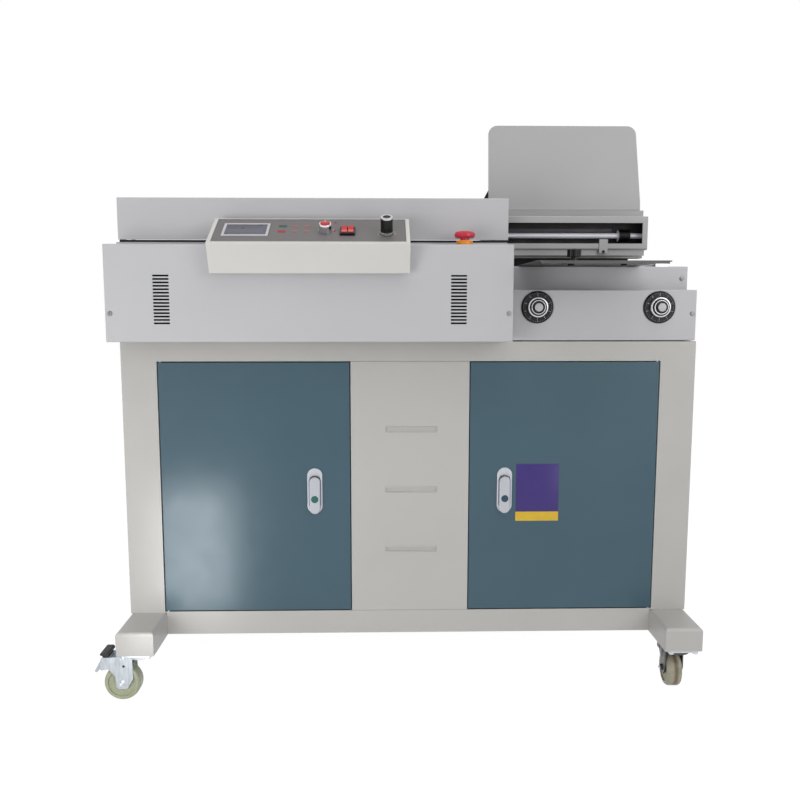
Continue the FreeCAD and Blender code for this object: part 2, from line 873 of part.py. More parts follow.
def make_lock_lever(x):
    """Swing lever, open behind at its top, where it hangs on the spindle's cross pin."""
    z = lock_pivot_z
    room = spindle_radius + slide_gap
    pin_half = lever_width / 3 + slide_gap
    cheek_half = lever_width / 2 - lever_cheek
    lever = oblong(lever_width / 2, lever_top - lever_length, lever_top, lever_front, lever_back, x)
    lever = bevel_edges(lever, lever_thick / 5, lambda p: p.y < lever_front + joint_gap)
    pocket = block(x - cheek_half, x + cheek_half, lever_front + lever_web, lever_back + overrun,
                   z - room, lever_top + overrun)
    pin_hole = crosswise(spindle_head_radius + running_fit, lever_mid, z, x - pin_half, x + pin_half)
    button_hole = fore_and_aft(lock_button_radius + slide_gap, x, lock_top - lock_button_drop,
                               lever_front - overrun, lever_back + overrun)
    return lever.cut(pocket).cut(pin_hole).cut(button_hole)


def make_lock_button(x):
    """Round button let into the lever, its edge bevelled."""
    r = lock_button_radius
    length = lock_button_length
    proud = lock_button_proud
    profile = [(0, 0), (r, 0), (r, length - proud), (r - proud, length), (0, length)]
    base = Vector(x, lever_front - proud + length, lock_top - lock_button_drop)
    return turned(profile, base, -y_axis)


# Head covers


def vent_slots(count, half_length, middle_rise, y):
    """Two columns of slots through a sheet at y."""
    slots = []
    for x in (vent_left_x, vent_right_x):
        for row in range(count):
            z = above(middle_rise + (row - (count - 1) / 2) * vent_pitch)
            slots.append(block(x - half_length, x + half_length, y - overrun, y + overrun,
                               z - vent_height / 2, z + vent_height / 2))
    return Part.makeCompound(slots)


def make_front_cover():
    """Long front cover with its ledge, closed ends and two columns of air slots."""
    low, high = above(cover_lift), above(cover_rise)
    path = [(ledge_lip + cover_front, low), (cover_front, low), (cover_front, high),
            (ledge_back, high), (ledge_back, high - ledge_lip)]
    cover = side_prism(sheet_corners(path, cover_sheet, bend_radius, -1), head_left, head_split)
    end_outline = [(cover_front, low, bend_radius), (cover_front, high, bend_radius),
                   (ledge_back, high, 0), (ledge_back, low, 0)]
    for x0 in (head_left, head_split - cover_sheet):
        cover = cover.fuse(side_prism(end_outline, x0, x0 + cover_sheet))
    slots = vent_slots(vent_count, vent_length / 2, vent_rise, cover_front)
    return cover.removeSplitter().cut(slots)


def make_rear_housing():
    """Left end, back and right end of the head, with air slots in the back."""
    top = above(step_two_rise)
    left = side_prism([(ledge_back, cabinet_top, 0), (ledge_back, above(cover_rise), 0),
                       (slot_back - back_jaw_depth, above(cover_rise), 0), (head_back, top, 0),
                       (head_back, cabinet_top, 0)], head_left, head_left + cover_sheet)
    back = block(head_left, head_right, head_back - cover_sheet, head_back, cabinet_top, top)
    right = block(head_right - cover_sheet, head_right, step_two_back, head_back, cabinet_top, top)
    lip = block(head_left, head_right, head_back - ledge_lip, head_back, top - cover_sheet, top)
    side_lip = block(head_right - ledge_lip, head_right, step_two_back, head_back,
                     top - cover_sheet, top)
    housing = left.fuse(back).fuse(right).fuse(lip).fuse(side_lip)
    slots = vent_slots(rear_vent_count, vent_length, step_two_rise / 2, head_back)
    return housing.removeSplitter().cut(slots)


def make_right_front_panel():
    """Dial panel with its ledge and end."""
    low, high = above(panel_lift), above(step_one_rise)
    path = [(ledge_lip, low), (0, low), (0, high), (step_one_back, high)]
    panel = side_prism(sheet_corners(path, cover_sheet, bend_radius, -1), head_split, head_right)
    end_outline = [(0, low, bend_radius), (0, high, bend_radius), (step_one_back, high, 0),
                   (step_one_back, low, 0)]
    panel = panel.fuse(side_prism(end_outline, head_right - cover_sheet, head_right))
    for x in (dial_left_x, dial_right_x):
        panel = panel.cut(fore_and_aft(dial_shaft_radius + slide_gap, x, above(dial_rise),
                                       -overrun, overrun))
    return panel.removeSplitter()


def make_right_step_panel():
    """Second step, behind the dial panel."""
    top = above(step_two_rise)
    front, back = step_one_back, step_two_back
    path = [(front, cabinet_top), (front, top), (back, top)]
    skin = side_prism(sheet_corners(path, cover_sheet, bend_radius, -1), head_split, step_two_right)
    end_outline = [(front, cabinet_top, 0), (front, top, bend_radius), (back, top, 0),
                   (back, cabinet_top, 0)]
    end = side_prism(end_outline, step_two_right - cover_sheet, step_two_right)
    return skin.fuse(end).removeSplitter()


# Hood and what carries it


def knuckle_starts():
    return [hood_left + (hood_right - hood_left) * share for share in knuckle_shares]


def make_hood():
    """Long folded hood, open below and at its right end, hinged along its rear edge."""
    low, high = above(hood_low_rise), above(hood_high_rise)
    front, back = hood_front, hood_front + hood_depth
    path = [(front, low), (front, high), (back, high), (back, high - hood_rear_lip)]
    hood = side_prism(sheet_corners(path, cover_sheet, bend_radius, -1), hood_left, hood_right)
    outline = [(front, low, 0), (front, high, bend_radius), (back, high, bend_radius),
               (back, high - hood_rear_lip, 0), (back, low + hood_depth / 2, 0),
               (front + hood_depth / 2, low, 0)]
    hood = hood.fuse(side_prism(outline, hood_left, hood_left + cover_sheet))
    flange_top = high - hood_end_flange
    inner = [(front + hood_end_flange, low - overrun, 0), (front + hood_end_flange, flange_top, 0),
             (back + overrun, flange_top, 0), (back + overrun, low - overrun, 0)]
    right_end = side_prism(outline, hood_right - cover_sheet, hood_right)
    hood = hood.fuse(right_end.cut(side_prism(inner, hood_right - overrun, hood_right + overrun)))
    axis_z = above(hinge_rise)
    for start in knuckle_starts():
        end = start + knuckle_length
        knuckle = crosswise(knuckle_radius, hinge_y, axis_z, start, end)
        leaf = block(start, end, back, hinge_y, axis_z - cover_sheet, axis_z + cover_sheet)
        bore = crosswise(hinge_pin_radius + running_fit, hinge_y, axis_z, start - overrun,
                         end + overrun)
        hood = hood.fuse(knuckle.fuse(leaf).cut(bore))
    return hood.removeSplitter()


def make_hood_bridge():
    """Bar that carries the hood's hinge, with a post at each end clear of the clamp's way."""
    low, high = above(bridge_low_rise), above(bridge_high_rise)
    y0, y1 = hinge_y - bridge_depth / 2, hinge_y + bridge_depth / 2
    bar_left = head_left + cover_sheet
    bridge = block(bar_left, post_right, y0, y1, low, high)
    post_left = post_right - post_width
    bridge = bridge.fuse(block(post_left, post_right, post_front, y1, low, high))
    bridge = bridge.fuse(block(post_left, post_right, post_front, post_back, cabinet_top, high))
    bridge = bridge.fuse(block(bar_left, bar_left + left_post_width, y0, y1, cabinet_top, high))
    axis_z = above(hinge_rise)
    for start in knuckle_starts():
        end = start + knuckle_length
        bridge = bridge.fuse(crosswise(hinge_pin_radius, hinge_y, axis_z, start - ear_length,
                                       end + ear_length))
        for x0 in (start - ear_length, end + slide_gap):
            ear = block(x0, x0 + ear_length - slide_gap, y0, y1, high, axis_z + hinge_pin_radius)
            bridge = bridge.fuse(ear)
    return bridge.removeSplitter()


# Control box


def box_path():
    """Outer line of the box's side, from its lower return round to the ledge."""
    low_y, low_z = box_front_low
    seat = cover_front - joint_gap
    under = low_z + (seat - low_y) * slope_rise / slope_run
    back_y, back_z = box_back_top
    return [(seat, above(under)), (low_y, above(low_z)), (box_front_top[0], above(box_front_top[1])),
            (back_y, above(back_z)), (back_y, above(cover_rise + joint_gap))]


def on_slope(shape):
    """Carry a shape drawn flat (x, distance up the slope, height) to the sloping top."""
    placed = shape.copy()
    home = Placement(Vector(0, box_front_top[0], above(box_front_top[1])), Rotation(x_axis, slope_angle))
    placed.Placement = home.multiply(placed.Placement)
    return placed


def fascia_block(low, high, grow=0.0):
    return block(box_left + fascia_side_rim - grow, box_right - fascia_side_rim + grow,
                 fascia_front_rim - grow, slope_length - fascia_back_rim + grow, low, high)


def make_control_box():
    """Sloping sheet box with closed ends that sits over the corner of the front cover."""
    path = box_path()
    last = len(path) - 1
    box = side_prism(sheet_corners(path, box_sheet, bend_radius, -1), box_left, box_right)
    outline = [(y, z, bend_radius if 0 < index < last else 0) for index, (y, z) in enumerate(path)]
    outline.append((cover_front - joint_gap, above(cover_rise + joint_gap), 0))
    for x in (box_left, box_right - box_sheet):
        box = box.fuse(side_prism(outline, x, x + box_sheet))
    opening = on_slope(fascia_block(-fascia_thick - overrun, overrun, joint_gap))
    return box.cut(opening).removeSplitter()


def make_control_fascia():
    """Panel let into the box's top, with the switch bezel on it."""
    under = -fascia_thick - fascia_sink
    half_w, half_l = bezel_width / 2, bezel_length / 2
    panel = fascia_block(under, -fascia_sink)
    panel = panel.fuse(block(rocker_x - half_w, rocker_x + half_w, rocker_s - half_l,
                             rocker_s + half_l, under, bezel_height))
    mouth_w = rocker_width + rocker_gap
    mouth_l = rocker_length / 2 + rocker_gap
    panel = panel.cut(block(rocker_x - mouth_w, rocker_x + mouth_w, rocker_s - mouth_l,
                            rocker_s + mouth_l, under - overrun, bezel_height + overrun))
    return on_slope(panel)


def make_lcd_window():
    """Display frame with its glass."""
    frame = block(display_left, display_right, display_low, display_high, -fascia_sink,
                  display_frame_thick)
    hole = block(display_left + display_frame, display_right - display_frame,
                 display_low + display_frame, display_high - display_frame,
                 display_glass_thick - fascia_sink, display_frame_thick + overrun)
    return on_slope(frame.cut(hole))


def make_rocker(side):
    """Rocker key, tilted to one of its two stops."""
    half = rocker_length / 2
    foot_half = half * rocker_foot_share
    foot_low = -rocker_sink * rocker_sink_share
    centre = rocker_x + side * (rocker_width + rocker_gap) / 2
    outline = [(-half, 0, 0), (-half, rocker_rise, rocker_lip_radius),
               (0, rocker_rise * rocker_dip_share, 0), (half, rocker_rise, rocker_lip_radius),
               (half, 0, 0), (foot_half, foot_low, 0), (-foot_half, foot_low, 0)]
    key = side_prism(outline, centre - rocker_width / 2, centre + rocker_width / 2)
    stud_half = rocker_width / 2 + rocker_stud_reach
    key = key.fuse(crosswise(rocker_stud_radius, 0, 0, centre - stud_half, centre + stud_half))
    key.rotate(Vector(0, 0, 0), x_axis, rocker_tilt)
    key.translate(Vector(0, rocker_s, 0))
    return on_slope(key)


def make_selector_knob():
    """Metal knob with a flat cap."""
    foot = joint_gap - fascia_sink
    profile = [(0, foot), (selector_radius, foot)]
    profile += scaled_profile(selector_shares, selector_radius, selector_height)
    return on_slope(turned(profile, Vector(selector_x, selector_s, 0), z_axis))


def make_speed_knob():
    """Tall black knob with a skirt and a turned top."""
    foot = joint_gap - fascia_sink
    profile = [(0, foot), (speed_skirt_radius, foot), (speed_skirt_radius, speed_skirt_height)]
    profile += scaled_profile(speed_shares, speed_radius, speed_height)
    return on_slope(turned(profile, Vector(speed_x, speed_s, 0), z_axis))


# Emergency stop and dials


def make_stop_collar():
    """Collar on the ledge, bored for the stem."""
    low = above(cover_rise)
    high = low + stop_collar_height
    bore = upright(stop_stem_radius + slide_gap, stop_x, stop_y, low + cover_sheet, high + overrun)
    return upright(stop_collar_radius, stop_x, stop_y, low, high).cut(bore)


def make_stop_cap():
    """Mushroom head with a stem that runs in the collar."""
    r, h = stop_cap_radius, stop_cap_height
    low = stop_collar_height + stop_travel + slide_gap
    stem_low = cover_sheet + stop_travel + slide_gap
    profile = [(0, stem_low), (stop_stem_radius, stem_low), (stop_stem_radius, low)]
    profile += [(r * out, low + h * up) for out, up in stop_cap_shares]
    return turned(profile, Vector(stop_x, stop_y, above(cover_rise)), z_axis)


def make_dial(x):
    """Graduated black flange and stepped knob in one turned piece, on its shaft."""
    foot = slide_gap
    top = dial_flange_thick
    step, ring, nose = [dial_depth * share for share in dial_depth_shares]
    profile = [(0, -dial_depth), (dial_shaft_radius, -dial_depth), (dial_shaft_radius, foot),
               (dial_flange_radius, foot), (dial_flange_radius, top / 2),
               (dial_flange_radius - top, top), (dial_knob_radius, top), (dial_knob_radius, step),
               (dial_knob_radius - slide_gap * 4, ring), (dial_ring_radius, ring),
               (dial_ring_radius, nose), (dial_nose_radius, nose), (dial_nose_radius, dial_depth),
               (0, dial_depth)]
    return turned(profile, Vector(x, 0, above(dial_rise)), -y_axis)


# Rails and clamp carriage


def make_guide_rails():
    """Two ground rails between end blocks."""
    inner_left = rail_block_left + rail_block_width
    inner_right = rail_block_right - rail_block_width
    front = rail_front_y - bearing_half_width
    top = above(rail_block_rise)
    pieces = [block(rail_block_left, inner_left, front, rail_block_back, cabinet_top, top),
              block(inner_right, rail_block_right, rail_block_front, rail_block_back, cabinet_top, top)]
    for y in (rail_front_y, rail_back_y):
        pieces.append(crosswise(rail_radius, y, above(rail_rise), inner_left, inner_right))
    return Part.makeCompound(pieces)


def carriage_plate():
    """Upright plate of the carriage, its upper corners cut off."""
    base_low = above(frame_base_rise)
    top = above(frame_plate_rise)
    shoulder = top - frame_shoulder
    right = back_jaw_right - overrun
    corners = [(clamp_left, base_low, 0), (clamp_left + frame_taper, shoulder, 0),
               (clamp_left + frame_shoulder, top, frame_corner_radius),
               (right - frame_shoulder, top, frame_corner_radius), (right, shoulder, 0),
               (clamp_right, base_low, 0)]
    return front_prism(corners, frame_plate_y, frame_plate_back)


def make_carriage_frame():
    """Carriage: base with four bearing blocks, an upright plate and two gussets."""
    base_low, base_high = above(frame_base_rise), above(frame_base_rise + frame_base_thick)
    frame = block(clamp_left, clamp_right, frame_plate_y, frame_base_back, base_low, base_high)
    frame = frame.fuse(carriage_plate())
    gusset_outline = [(frame_plate_back, base_high, 0), (frame_plate_back, above(gusset_rise), 0),
                      (frame_base_back, base_high, 0)]
    for x in (clamp_left + gusset_inset, clamp_right - gusset_inset - gusset_thick):
        frame = frame.fuse(side_prism(gusset_outline, x, x + gusset_thick))
    for x in (clamp_left + overrun, clamp_right - overrun - bearing_length):
        for y in (rail_front_y, rail_back_y):
            frame = frame.fuse(block(x, x + bearing_length, y - bearing_half_width,
                                     y + bearing_half_width, base_low - bearing_drop, base_low))
    for y in (rail_front_y, rail_back_y):
        frame = frame.cut(crosswise(rail_radius + running_fit, y, above(rail_rise),
                                    clamp_left - overrun, clamp_right + overrun))
    for x in guide_rod_places():
        frame = frame.cut(fore_and_aft(guide_rod_radius + slide_gap, x, above(tie_shaft_rise),
                                       frame_plate_y - overrun, frame_plate_back + overrun))
    return frame.removeSplitter()


def guide_rod_places():
    return (clamp_left + guide_rod_inset, clamp_right - guide_rod_inset)


def make_back_jaw():
    """Fixed jaw: a deep channel with its clamping face in front."""
    low, high = above(jaw_low_rise), above(back_jaw_rise)
    z = above(tie_shaft_rise)
    jaw = block(clamp_left, back_jaw_right, slot_back, frame_plate_y, low, high)
    envelope = jaw.copy()
    hollow = block(clamp_left + back_jaw_wall, back_jaw_right - back_jaw_wall,
                   slot_back + back_jaw_wall, slot_back + back_jaw_depth + overrun,
                   low + back_jaw_wall, high - back_jaw_wall)
    jaw = jaw.cut(hollow)
    for x in guide_rod_places():
        boss = fore_and_aft(guide_boss_radius, x, z, slot_back, frame_plate_y)
        bore = fore_and_aft(guide_rod_radius + running_fit, x, z, slot_back - overrun,
                            frame_plate_y + overrun)
        jaw = jaw.fuse(boss.common(envelope)).cut(bore)
    return jaw.removeSplitter()


def make_book_rest_plate():
    """Tall plate that leans back from a foot on the fixed jaw; its top corners are round."""
    low, high = above(back_jaw_rise), above(rest_top_rise)
    foot_back = frame_plate_y - joint_gap
    foot_front = foot_back - rest_foot
    lean = (high - low) * math.tan(math.radians(rest_lean))
    path = [(foot_back, low), (foot_front, low), (foot_front + lean, high)]
    corners = sheet_corners(path, rest_sheet, rest_sheet + joint_gap, -1)
    sheet = side_prism(corners, rest_left, rest_right)
    top = high - rest_sheet
    outline = front_prism([(rest_left, low - overrun, 0), (rest_left, top, rest_corner_radius),
                           (rest_top_right, top, rest_corner_radius),
                           (rest_right, low + rest_corner_radius, 0), (rest_right, low - overrun, 0)],
                          foot_front - overrun, frame_plate_y + lean + overrun)
    return sheet.common(outline)


def make_front_jaw():
    """Moving jaw: a sheet box with a long window, a clamping plate behind and a lower skirt."""
    low, box_low, high = above(jaw_low_rise), above(jaw_box_rise), above(jaw_top_rise)
    plate_front = jaw_back - jaw_plate
    face_back = jaw_front + jaw_sheet
    shell = side_prism([(jaw_front, box_low, jaw_sheet * 2), (jaw_front, high, jaw_sheet),
                        (plate_front, high, 0), (plate_front, box_low, 0)], clamp_left, clamp_right)
    shell = shell.cut(block(clamp_left + jaw_sheet, clamp_right - jaw_sheet, face_back,
                            plate_front + overrun, box_low + jaw_sheet, high - jaw_sheet))
    shell = shell.cut(block(clamp_left + window_side, window_right, jaw_front - overrun,
                            face_back + overrun, above(window_low_rise), above(window_high_rise)))
    plate = block(clamp_left, clamp_right, plate_front, jaw_back, low, high)
    skirt_front = jaw_front + jaw_skirt_inset
    skirt = block(clamp_left, clamp_right - jaw_skirt_inset, skirt_front, skirt_front + jaw_sheet,
                  low, box_low + jaw_sheet)
    bracket = block(bracket_left, bracket_left + bracket_width, jaw_front - jaw_sheet, jaw_front,
                    above(bracket_low_rise), above(bracket_high_rise))
    return shell.fuse(plate).fuse(skirt).fuse(bracket).removeSplitter()


def make_jaw_shafts():
    """Chromed tie shaft with its collar, and the two guide rods of the moving jaw."""
    z = above(tie_shaft_rise)
    tie = crosswise(tie_shaft_radius, tie_shaft_y, z, clamp_left + jaw_sheet, clamp_right - jaw_sheet)
    shafts = [tie.fuse(crosswise(collar_radius, tie_shaft_y, z, collar_left, collar_right))]
    for x in guide_rod_places():
        shafts.append(fore_and_aft(guide_rod_radius, x, z, jaw_back, guide_rod_back))
    return Part.makeCompound(shafts)


# Cover feed tray and nip table


def make_nip_table():
    """Table that presses the cover on, on two lifting columns."""
    high = above(tray_rise + tray_thick)
    low = high - nip_thick
    table = block(nip_left, nip_right, step_two_back + tray_thick, nip_back, low, high)
    table = round_edges(table, tray_thick / 2,
                        lambda p: p.z > high - joint_gap and p.y > nip_back - joint_gap)
    for x in lift_places():
        table = table.fuse(upright(lift_radius, x, slot_y, deck_low - lift_depth, low))
    return table


def make_cover_tray():
    """Feed tray: a flat sheet with a short lip folded down in front."""
    z0 = above(tray_rise)
    z1 = z0 + tray_thick
    back = step_two_back + tray_thick
    plate = plan_prism([(tray_left, tray_front, tray_lip), (tray_right, tray_front, tray_lip),
                        (tray_right, back, 0), (tray_left, back, 0)], z0, z1)
    lip = block(tray_left + tray_lip, tray_right - tray_lip, tray_front, tray_front + tray_thick,
                z1 - tray_lip, z1)
    guide = block(tray_knob_x - tray_guide_width / 2, tray_knob_x + tray_guide_width / 2,
                  tray_knob_y - tray_guide_length / 2, tray_knob_y + tray_guide_length / 2,
                  z1, z1 + tray_thick)
    bore = upright(tray_stem_radius + running_fit, tray_knob_x, tray_knob_y, z0 - overrun,
                   z1 + tray_thick + overrun)
    return plate.fuse(lip).fuse(guide).cut(bore).removeSplitter()


def make_tray_knob():
    """Lobed thumb knob on its screw."""
    x, y = tray_knob_x, tray_knob_y
    low = above(tray_rise)
    seat = low + tray_thick * 2 + slide_gap
    head_low = seat + tray_stem_height
    head_high = head_low + tray_knob_height
    knob = upright(tray_stem_radius, x, y, low, head_low)
    knob = knob.fuse(upright(tray_shoulder_radius, x, y, seat, head_low))
    head = upright(tray_knob_radius, x, y, head_low, head_high)
    reach = tray_knob_radius * flute_reach_share
    for turn in range(tray_knob_flutes):
        angle = math.radians(360 * turn / tray_knob_flutes)
        head = head.cut(upright(tray_knob_radius * flute_size_share, x + reach * math.cos(angle),
                                y + reach * math.sin(angle), head_low - overrun,
                                head_high + overrun))
    return knob.fuse(head).removeSplitter()


# Stations below the clamp's way


def make_cutter_motor():
    """Motor of the spine cutter, on a square foot."""
    x, y = cutter_x, slot_y
    half = motor_foot / 2
    foot_high = cabinet_top + motor_foot_thick
    body_high = foot_high + motor_height
    top = above(cutter_top_rise) - cutter_thick - slide_gap - cutter_shaft_radius
    motor = block(x - half, x + half, y - half, y + half, cabinet_top, foot_high)
    motor = motor.fuse(upright(motor_radius, x, y, foot_high, body_high))
    motor = motor.fuse(upright(motor_radius / 2, x, y, body_high, top))
    return motor.cut(upright(cutter_shaft_radius + running_fit, x, y,
                             foot_high + motor_height / 2, top + overrun))


def make_cutter_disc():
    """Milling disc with upright teeth round its rim, and its shaft."""
    x, y = cutter_x, slot_y
    proud = cutter_tooth_size / 2
    high = above(cutter_top_rise) - proud
    low = high - cutter_thick
    shaft_low = cabinet_top + motor_foot_thick + motor_height / 2 + slide_gap
    disc = upright(cutter_radius, x, y, low, high)
    disc = disc.fuse(upright(cutter_shaft_radius, x, y, shaft_low, low))
    tooth_out = cutter_radius - proud
    for turn in range(cutter_tooth_count):
        tooth = block(tooth_out - cutter_tooth_size, tooth_out, -proud / 2, proud / 2,
                      high - proud / 2, high + proud)
        tooth.rotate(Vector(0, 0, 0), z_axis, 360 / cutter_tooth_count * turn)
        tooth.translate(Vector(x, y, 0))
        disc = disc.fuse(tooth)
    return disc


def make_glue_tank():
    """Open glue trough on four legs, with the roller's bores in its long walls."""
    low, high = above(tank_base_rise), above(tank_rise)
    y0, y1 = slot_y - tank_half_width, slot_y + tank_half_width
    tank = block(tank_left, tank_right, y0, y1, low, high)
    tank = tank.cut(block(tank_left + tank_wall, tank_right - tank_wall, y0 + tank_wall,
                          y1 - tank_wall, low + tank_wall, high + overrun))
    for x in (tank_left, tank_right - tank_leg):
        for y in (y0, y1 - tank_leg):
            tank = tank.fuse(block(x, x + tank_leg, y, y + tank_leg, cabinet_top, low))
    axis_z = above(roller_top_rise) - roller_radius
    bore = fore_and_aft(roller_shaft_radius + running_fit, roller_x, axis_z, y0 - overrun, y1 + overrun)
    return tank.cut(bore).removeSplitter()


def make_glue_roller():
    """Glue roller, grooved once for the spine, on a shaft through both walls of the trough."""
    half = roller_length / 2
    groove = roller_groove_width / 2
    shaft_end = tank_half_width
    floor_radius = roller_radius - roller_groove_depth
    profile = [(0, -shaft_end), (roller_shaft_radius, -shaft_end), (roller_shaft_radius, -half),
               (roller_radius, -half), (roller_radius, -groove), (floor_radius, -groove),
               (floor_radius, groove), (roller_radius, groove), (roller_radius, half),
               (roller_shaft_radius, half), (roller_shaft_radius, shaft_end), (0, shaft_end)]
    base = Vector(roller_x, slot_y, above(roller_top_rise) - roller_radius)
    return turned(profile, base, y_axis)


def caster_places():
    """Name, place and heading of each caster; the heading is where its wheel trails."""
    front_left, front_right, rear_left, rear_right = caster_headings
    return (("front_left", -caster_x, caster_front_y, front_left),
            ("front_right", caster_x, caster_front_y, front_right),
            ("rear_left", -caster_x, caster_back_y, rear_left),
            ("rear_right", caster_x, caster_back_y, rear_right))


def main():
    os.makedirs("parts", exist_ok=True)
    save("foot_beams", make_foot_beams())
    save("caster_plates", make_caster_plates())
    fork, wheel, pedal = make_fork(), make_wheel(), make_pedal()
    for name, x, y, angle in caster_places():
        save(name + "_fork", at_caster(fork, x, y, angle))
        save(name + "_wheel", at_caster(wheel, x, y, angle))
        if name.startswith("front"):
            save(name + "_brake_pedal", at_caster(pedal, x, y, angle))
    save("cabinet_sides", make_cabinet_sides())
    save("cabinet_floor", make_cabinet_floor())
    save("cabinet_back", make_cabinet_back())
    save("front_frame", make_front_frame())
    save("centre_panel", make_centre_panel())
    save("inner_walls", make_inner_walls())
    save("top_deck", make_top_deck())
    save("door_hinges", make_door_hinges())
    right_door = make_right_door()
    save("right_door", right_door)
    save("left_door", mirrored(right_door))
    for side, x in (("left", -lock_offset), ("right", lock_offset)):
        save(side + "_lock_base", make_lock_base(x))
        save(side + "_lock_spindle", make_lock_spindle(x))
        save(side + "_lock_lever", make_lock_lever(x))
        save(side + "_lock_button", make_lock_button(x))
    save("front_cover", make_front_cover())
    save("rear_housing", make_rear_housing())
    save("right_front_panel", make_right_front_panel())
    save("right_step_panel", make_right_step_panel())
    save("hood", make_hood())
    save("hood_bridge", make_hood_bridge())
    save("control_box", make_control_box())
    save("control_fascia", make_control_fascia())
    save("lcd_window", make_lcd_window())
    save("left_rocker", make_rocker(-1))
    save("right_rocker", make_rocker(1))
    save("selector_knob", make_selector_knob())
    save("speed_knob", make_speed_knob())
    save("stop_collar", make_stop_collar())
    save("stop_cap", make_stop_cap())
    save("left_dial", make_dial(dial_left_x))
    save("right_dial", make_dial(dial_right_x))
    save("guide_rails", make_guide_rails())
    save("carriage_frame", make_carriage_frame())
    save("back_jaw", make_back_jaw())
    save("book_rest_plate", make_book_rest_plate())
    save("front_jaw", make_front_jaw())
    save("jaw_shafts", make_jaw_shafts())
    save("nip_table", make_nip_table())
    save("cover_tray", make_cover_tray())
    save("tray_knob", make_tray_knob())
    save("cutter_motor", make_cutter_motor())
    save("cutter_disc", make_cutter_disc())
    save("glue_tank", make_glue_tank())
    save("glue_roller", make_glue_roller())


main()
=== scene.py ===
# %% [markdown]
# Floor-standing book binder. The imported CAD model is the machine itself: every sheet, jaw, knob and
# caster is already in its place. This notebook gives each of them its real finish, and adds the small
# things that a maker fits last, such as screws, dial figures and key caps.
# Everything is in metres, in the frame of the CAD model: X to the right, Y away, Z up.

# %% Load the frame
import bpy
import bmesh
import math
from mathutils import Matrix, Vector


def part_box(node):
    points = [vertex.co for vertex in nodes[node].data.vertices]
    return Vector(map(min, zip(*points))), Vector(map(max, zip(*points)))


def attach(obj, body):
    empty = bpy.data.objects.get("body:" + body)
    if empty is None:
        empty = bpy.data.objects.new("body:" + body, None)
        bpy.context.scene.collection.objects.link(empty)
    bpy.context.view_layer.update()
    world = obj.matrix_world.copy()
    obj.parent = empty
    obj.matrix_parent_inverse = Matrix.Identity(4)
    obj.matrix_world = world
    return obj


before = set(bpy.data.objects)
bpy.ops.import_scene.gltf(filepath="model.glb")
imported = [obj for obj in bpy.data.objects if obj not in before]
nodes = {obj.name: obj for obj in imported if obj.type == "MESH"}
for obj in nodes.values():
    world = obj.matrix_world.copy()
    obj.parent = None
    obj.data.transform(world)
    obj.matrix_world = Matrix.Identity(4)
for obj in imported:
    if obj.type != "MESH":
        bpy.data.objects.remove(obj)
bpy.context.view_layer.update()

# %% [markdown]
# The photograph was taken from a little above the dials, square to the cabinet, with a normal lens.
# The camera stands at the place found by fitting the cabinet's corners, so that a render can be laid
# over the photograph. A tracked empty would also aim it, but plain angles are easier to correct.

# %% Camera
CAMERA_PLACE = (-0.0579, -1.7043, 0.8264)
CAMERA_PITCH, CAMERA_YAW, CAMERA_ROLL = 6.989, 1.236, -0.026
CAMERA_LENS = 36.82


def add_object(name, data):
    """New object in the scene."""
    item = bpy.data.objects.new(name, data)
    bpy.context.scene.collection.objects.link(item)
    return item


camera_data = bpy.data.cameras.new("photo_camera")
camera_data.sensor_width = 36.0
camera_data.lens = CAMERA_LENS
camera = add_object("photo_camera", camera_data)
aim = Matrix.Rotation(math.radians(-CAMERA_YAW), 4, "Z")
aim = aim @ Matrix.Rotation(math.radians(90 - CAMERA_PITCH), 4, "X")
aim = aim @ Matrix.Rotation(math.radians(-CAMERA_ROLL), 4, "Z")
camera.matrix_world = Matrix.Translation(CAMERA_PLACE) @ aim
bpy.context.scene.camera = camera
bpy.context.scene.view_settings.view_transform = "Standard"
print("lens", camera_data.lens)

# %% [markdown]
# Product pictures are lit by large soft lamps: a key from the front right, a low fill from the front left
# and one overhead. Area lamps give soft shadow edges by their size alone. A small low reflector is there
# only to be mirrored in the left door, as the bright floor is in the photograph.

# %% Lamps
def soft_lamp(name, place, target, size, watts, mirrored=True):
    """Square area lamp that faces a point; mirrored says whether shiny parts show it."""
    data = bpy.data.lights.new(name, "AREA")
    data.shape = "SQUARE"
    data.size = size
    data.energy = watts
    lamp = add_object(name, data)
    lamp.location = place
    direction = Vector(target) - Vector(place)
    lamp.rotation_euler = direction.to_track_quat("-Z", "Y").to_euler()
    lamp.visible_glossy = mirrored
    lamp.visible_camera = False
    return lamp


BODY_MIDDLE, DOOR_FOOT = (0.0, 0.1, 0.6), (-0.5, 0.0, 0.3)
soft_lamp("key_lamp", (1.9, -2.2, 1.5), BODY_MIDDLE, size=1.6, watts=21)
soft_lamp("fill_lamp", (-1.25, -1.7, 0.45), DOOR_FOOT, size=1.0, watts=17, mirrored=False)
soft_lamp("top_lamp", (0.2, -0.5, 3.0), BODY_MIDDLE, size=2.4, watts=30, mirrored=False)
reflector = soft_lamp("low_reflector", (-0.51, -0.22, 0.23), (-0.49, 0.0, 0.25), size=0.18, watts=1.25)
reflector.data.shape = "RECTANGLE"
reflector.data.size_y = 0.30
reflector.visible_diffuse = False

# %% [markdown]
# The world adds the even light that white studio walls throw back, and shows plain white to the camera
# and to reflections. One helper parts the two by the kind of ray, for the world and for the floor. It
# rests on the two helpers that make every node of this scene.

# %% Node helpers
def add_node(tree, kind, inputs, **settings):
    """Node with its settings; each input is a value or another node's socket."""
    node = tree.nodes.new(kind)
    for setting, value in settings.items():
        setattr(node, setting, value)
    for label, value in inputs.items():
        if isinstance(value, bpy.types.NodeSocket):
            tree.links.new(value, node.inputs[label])
        else:
            node.inputs[label].default_value = value
    return node


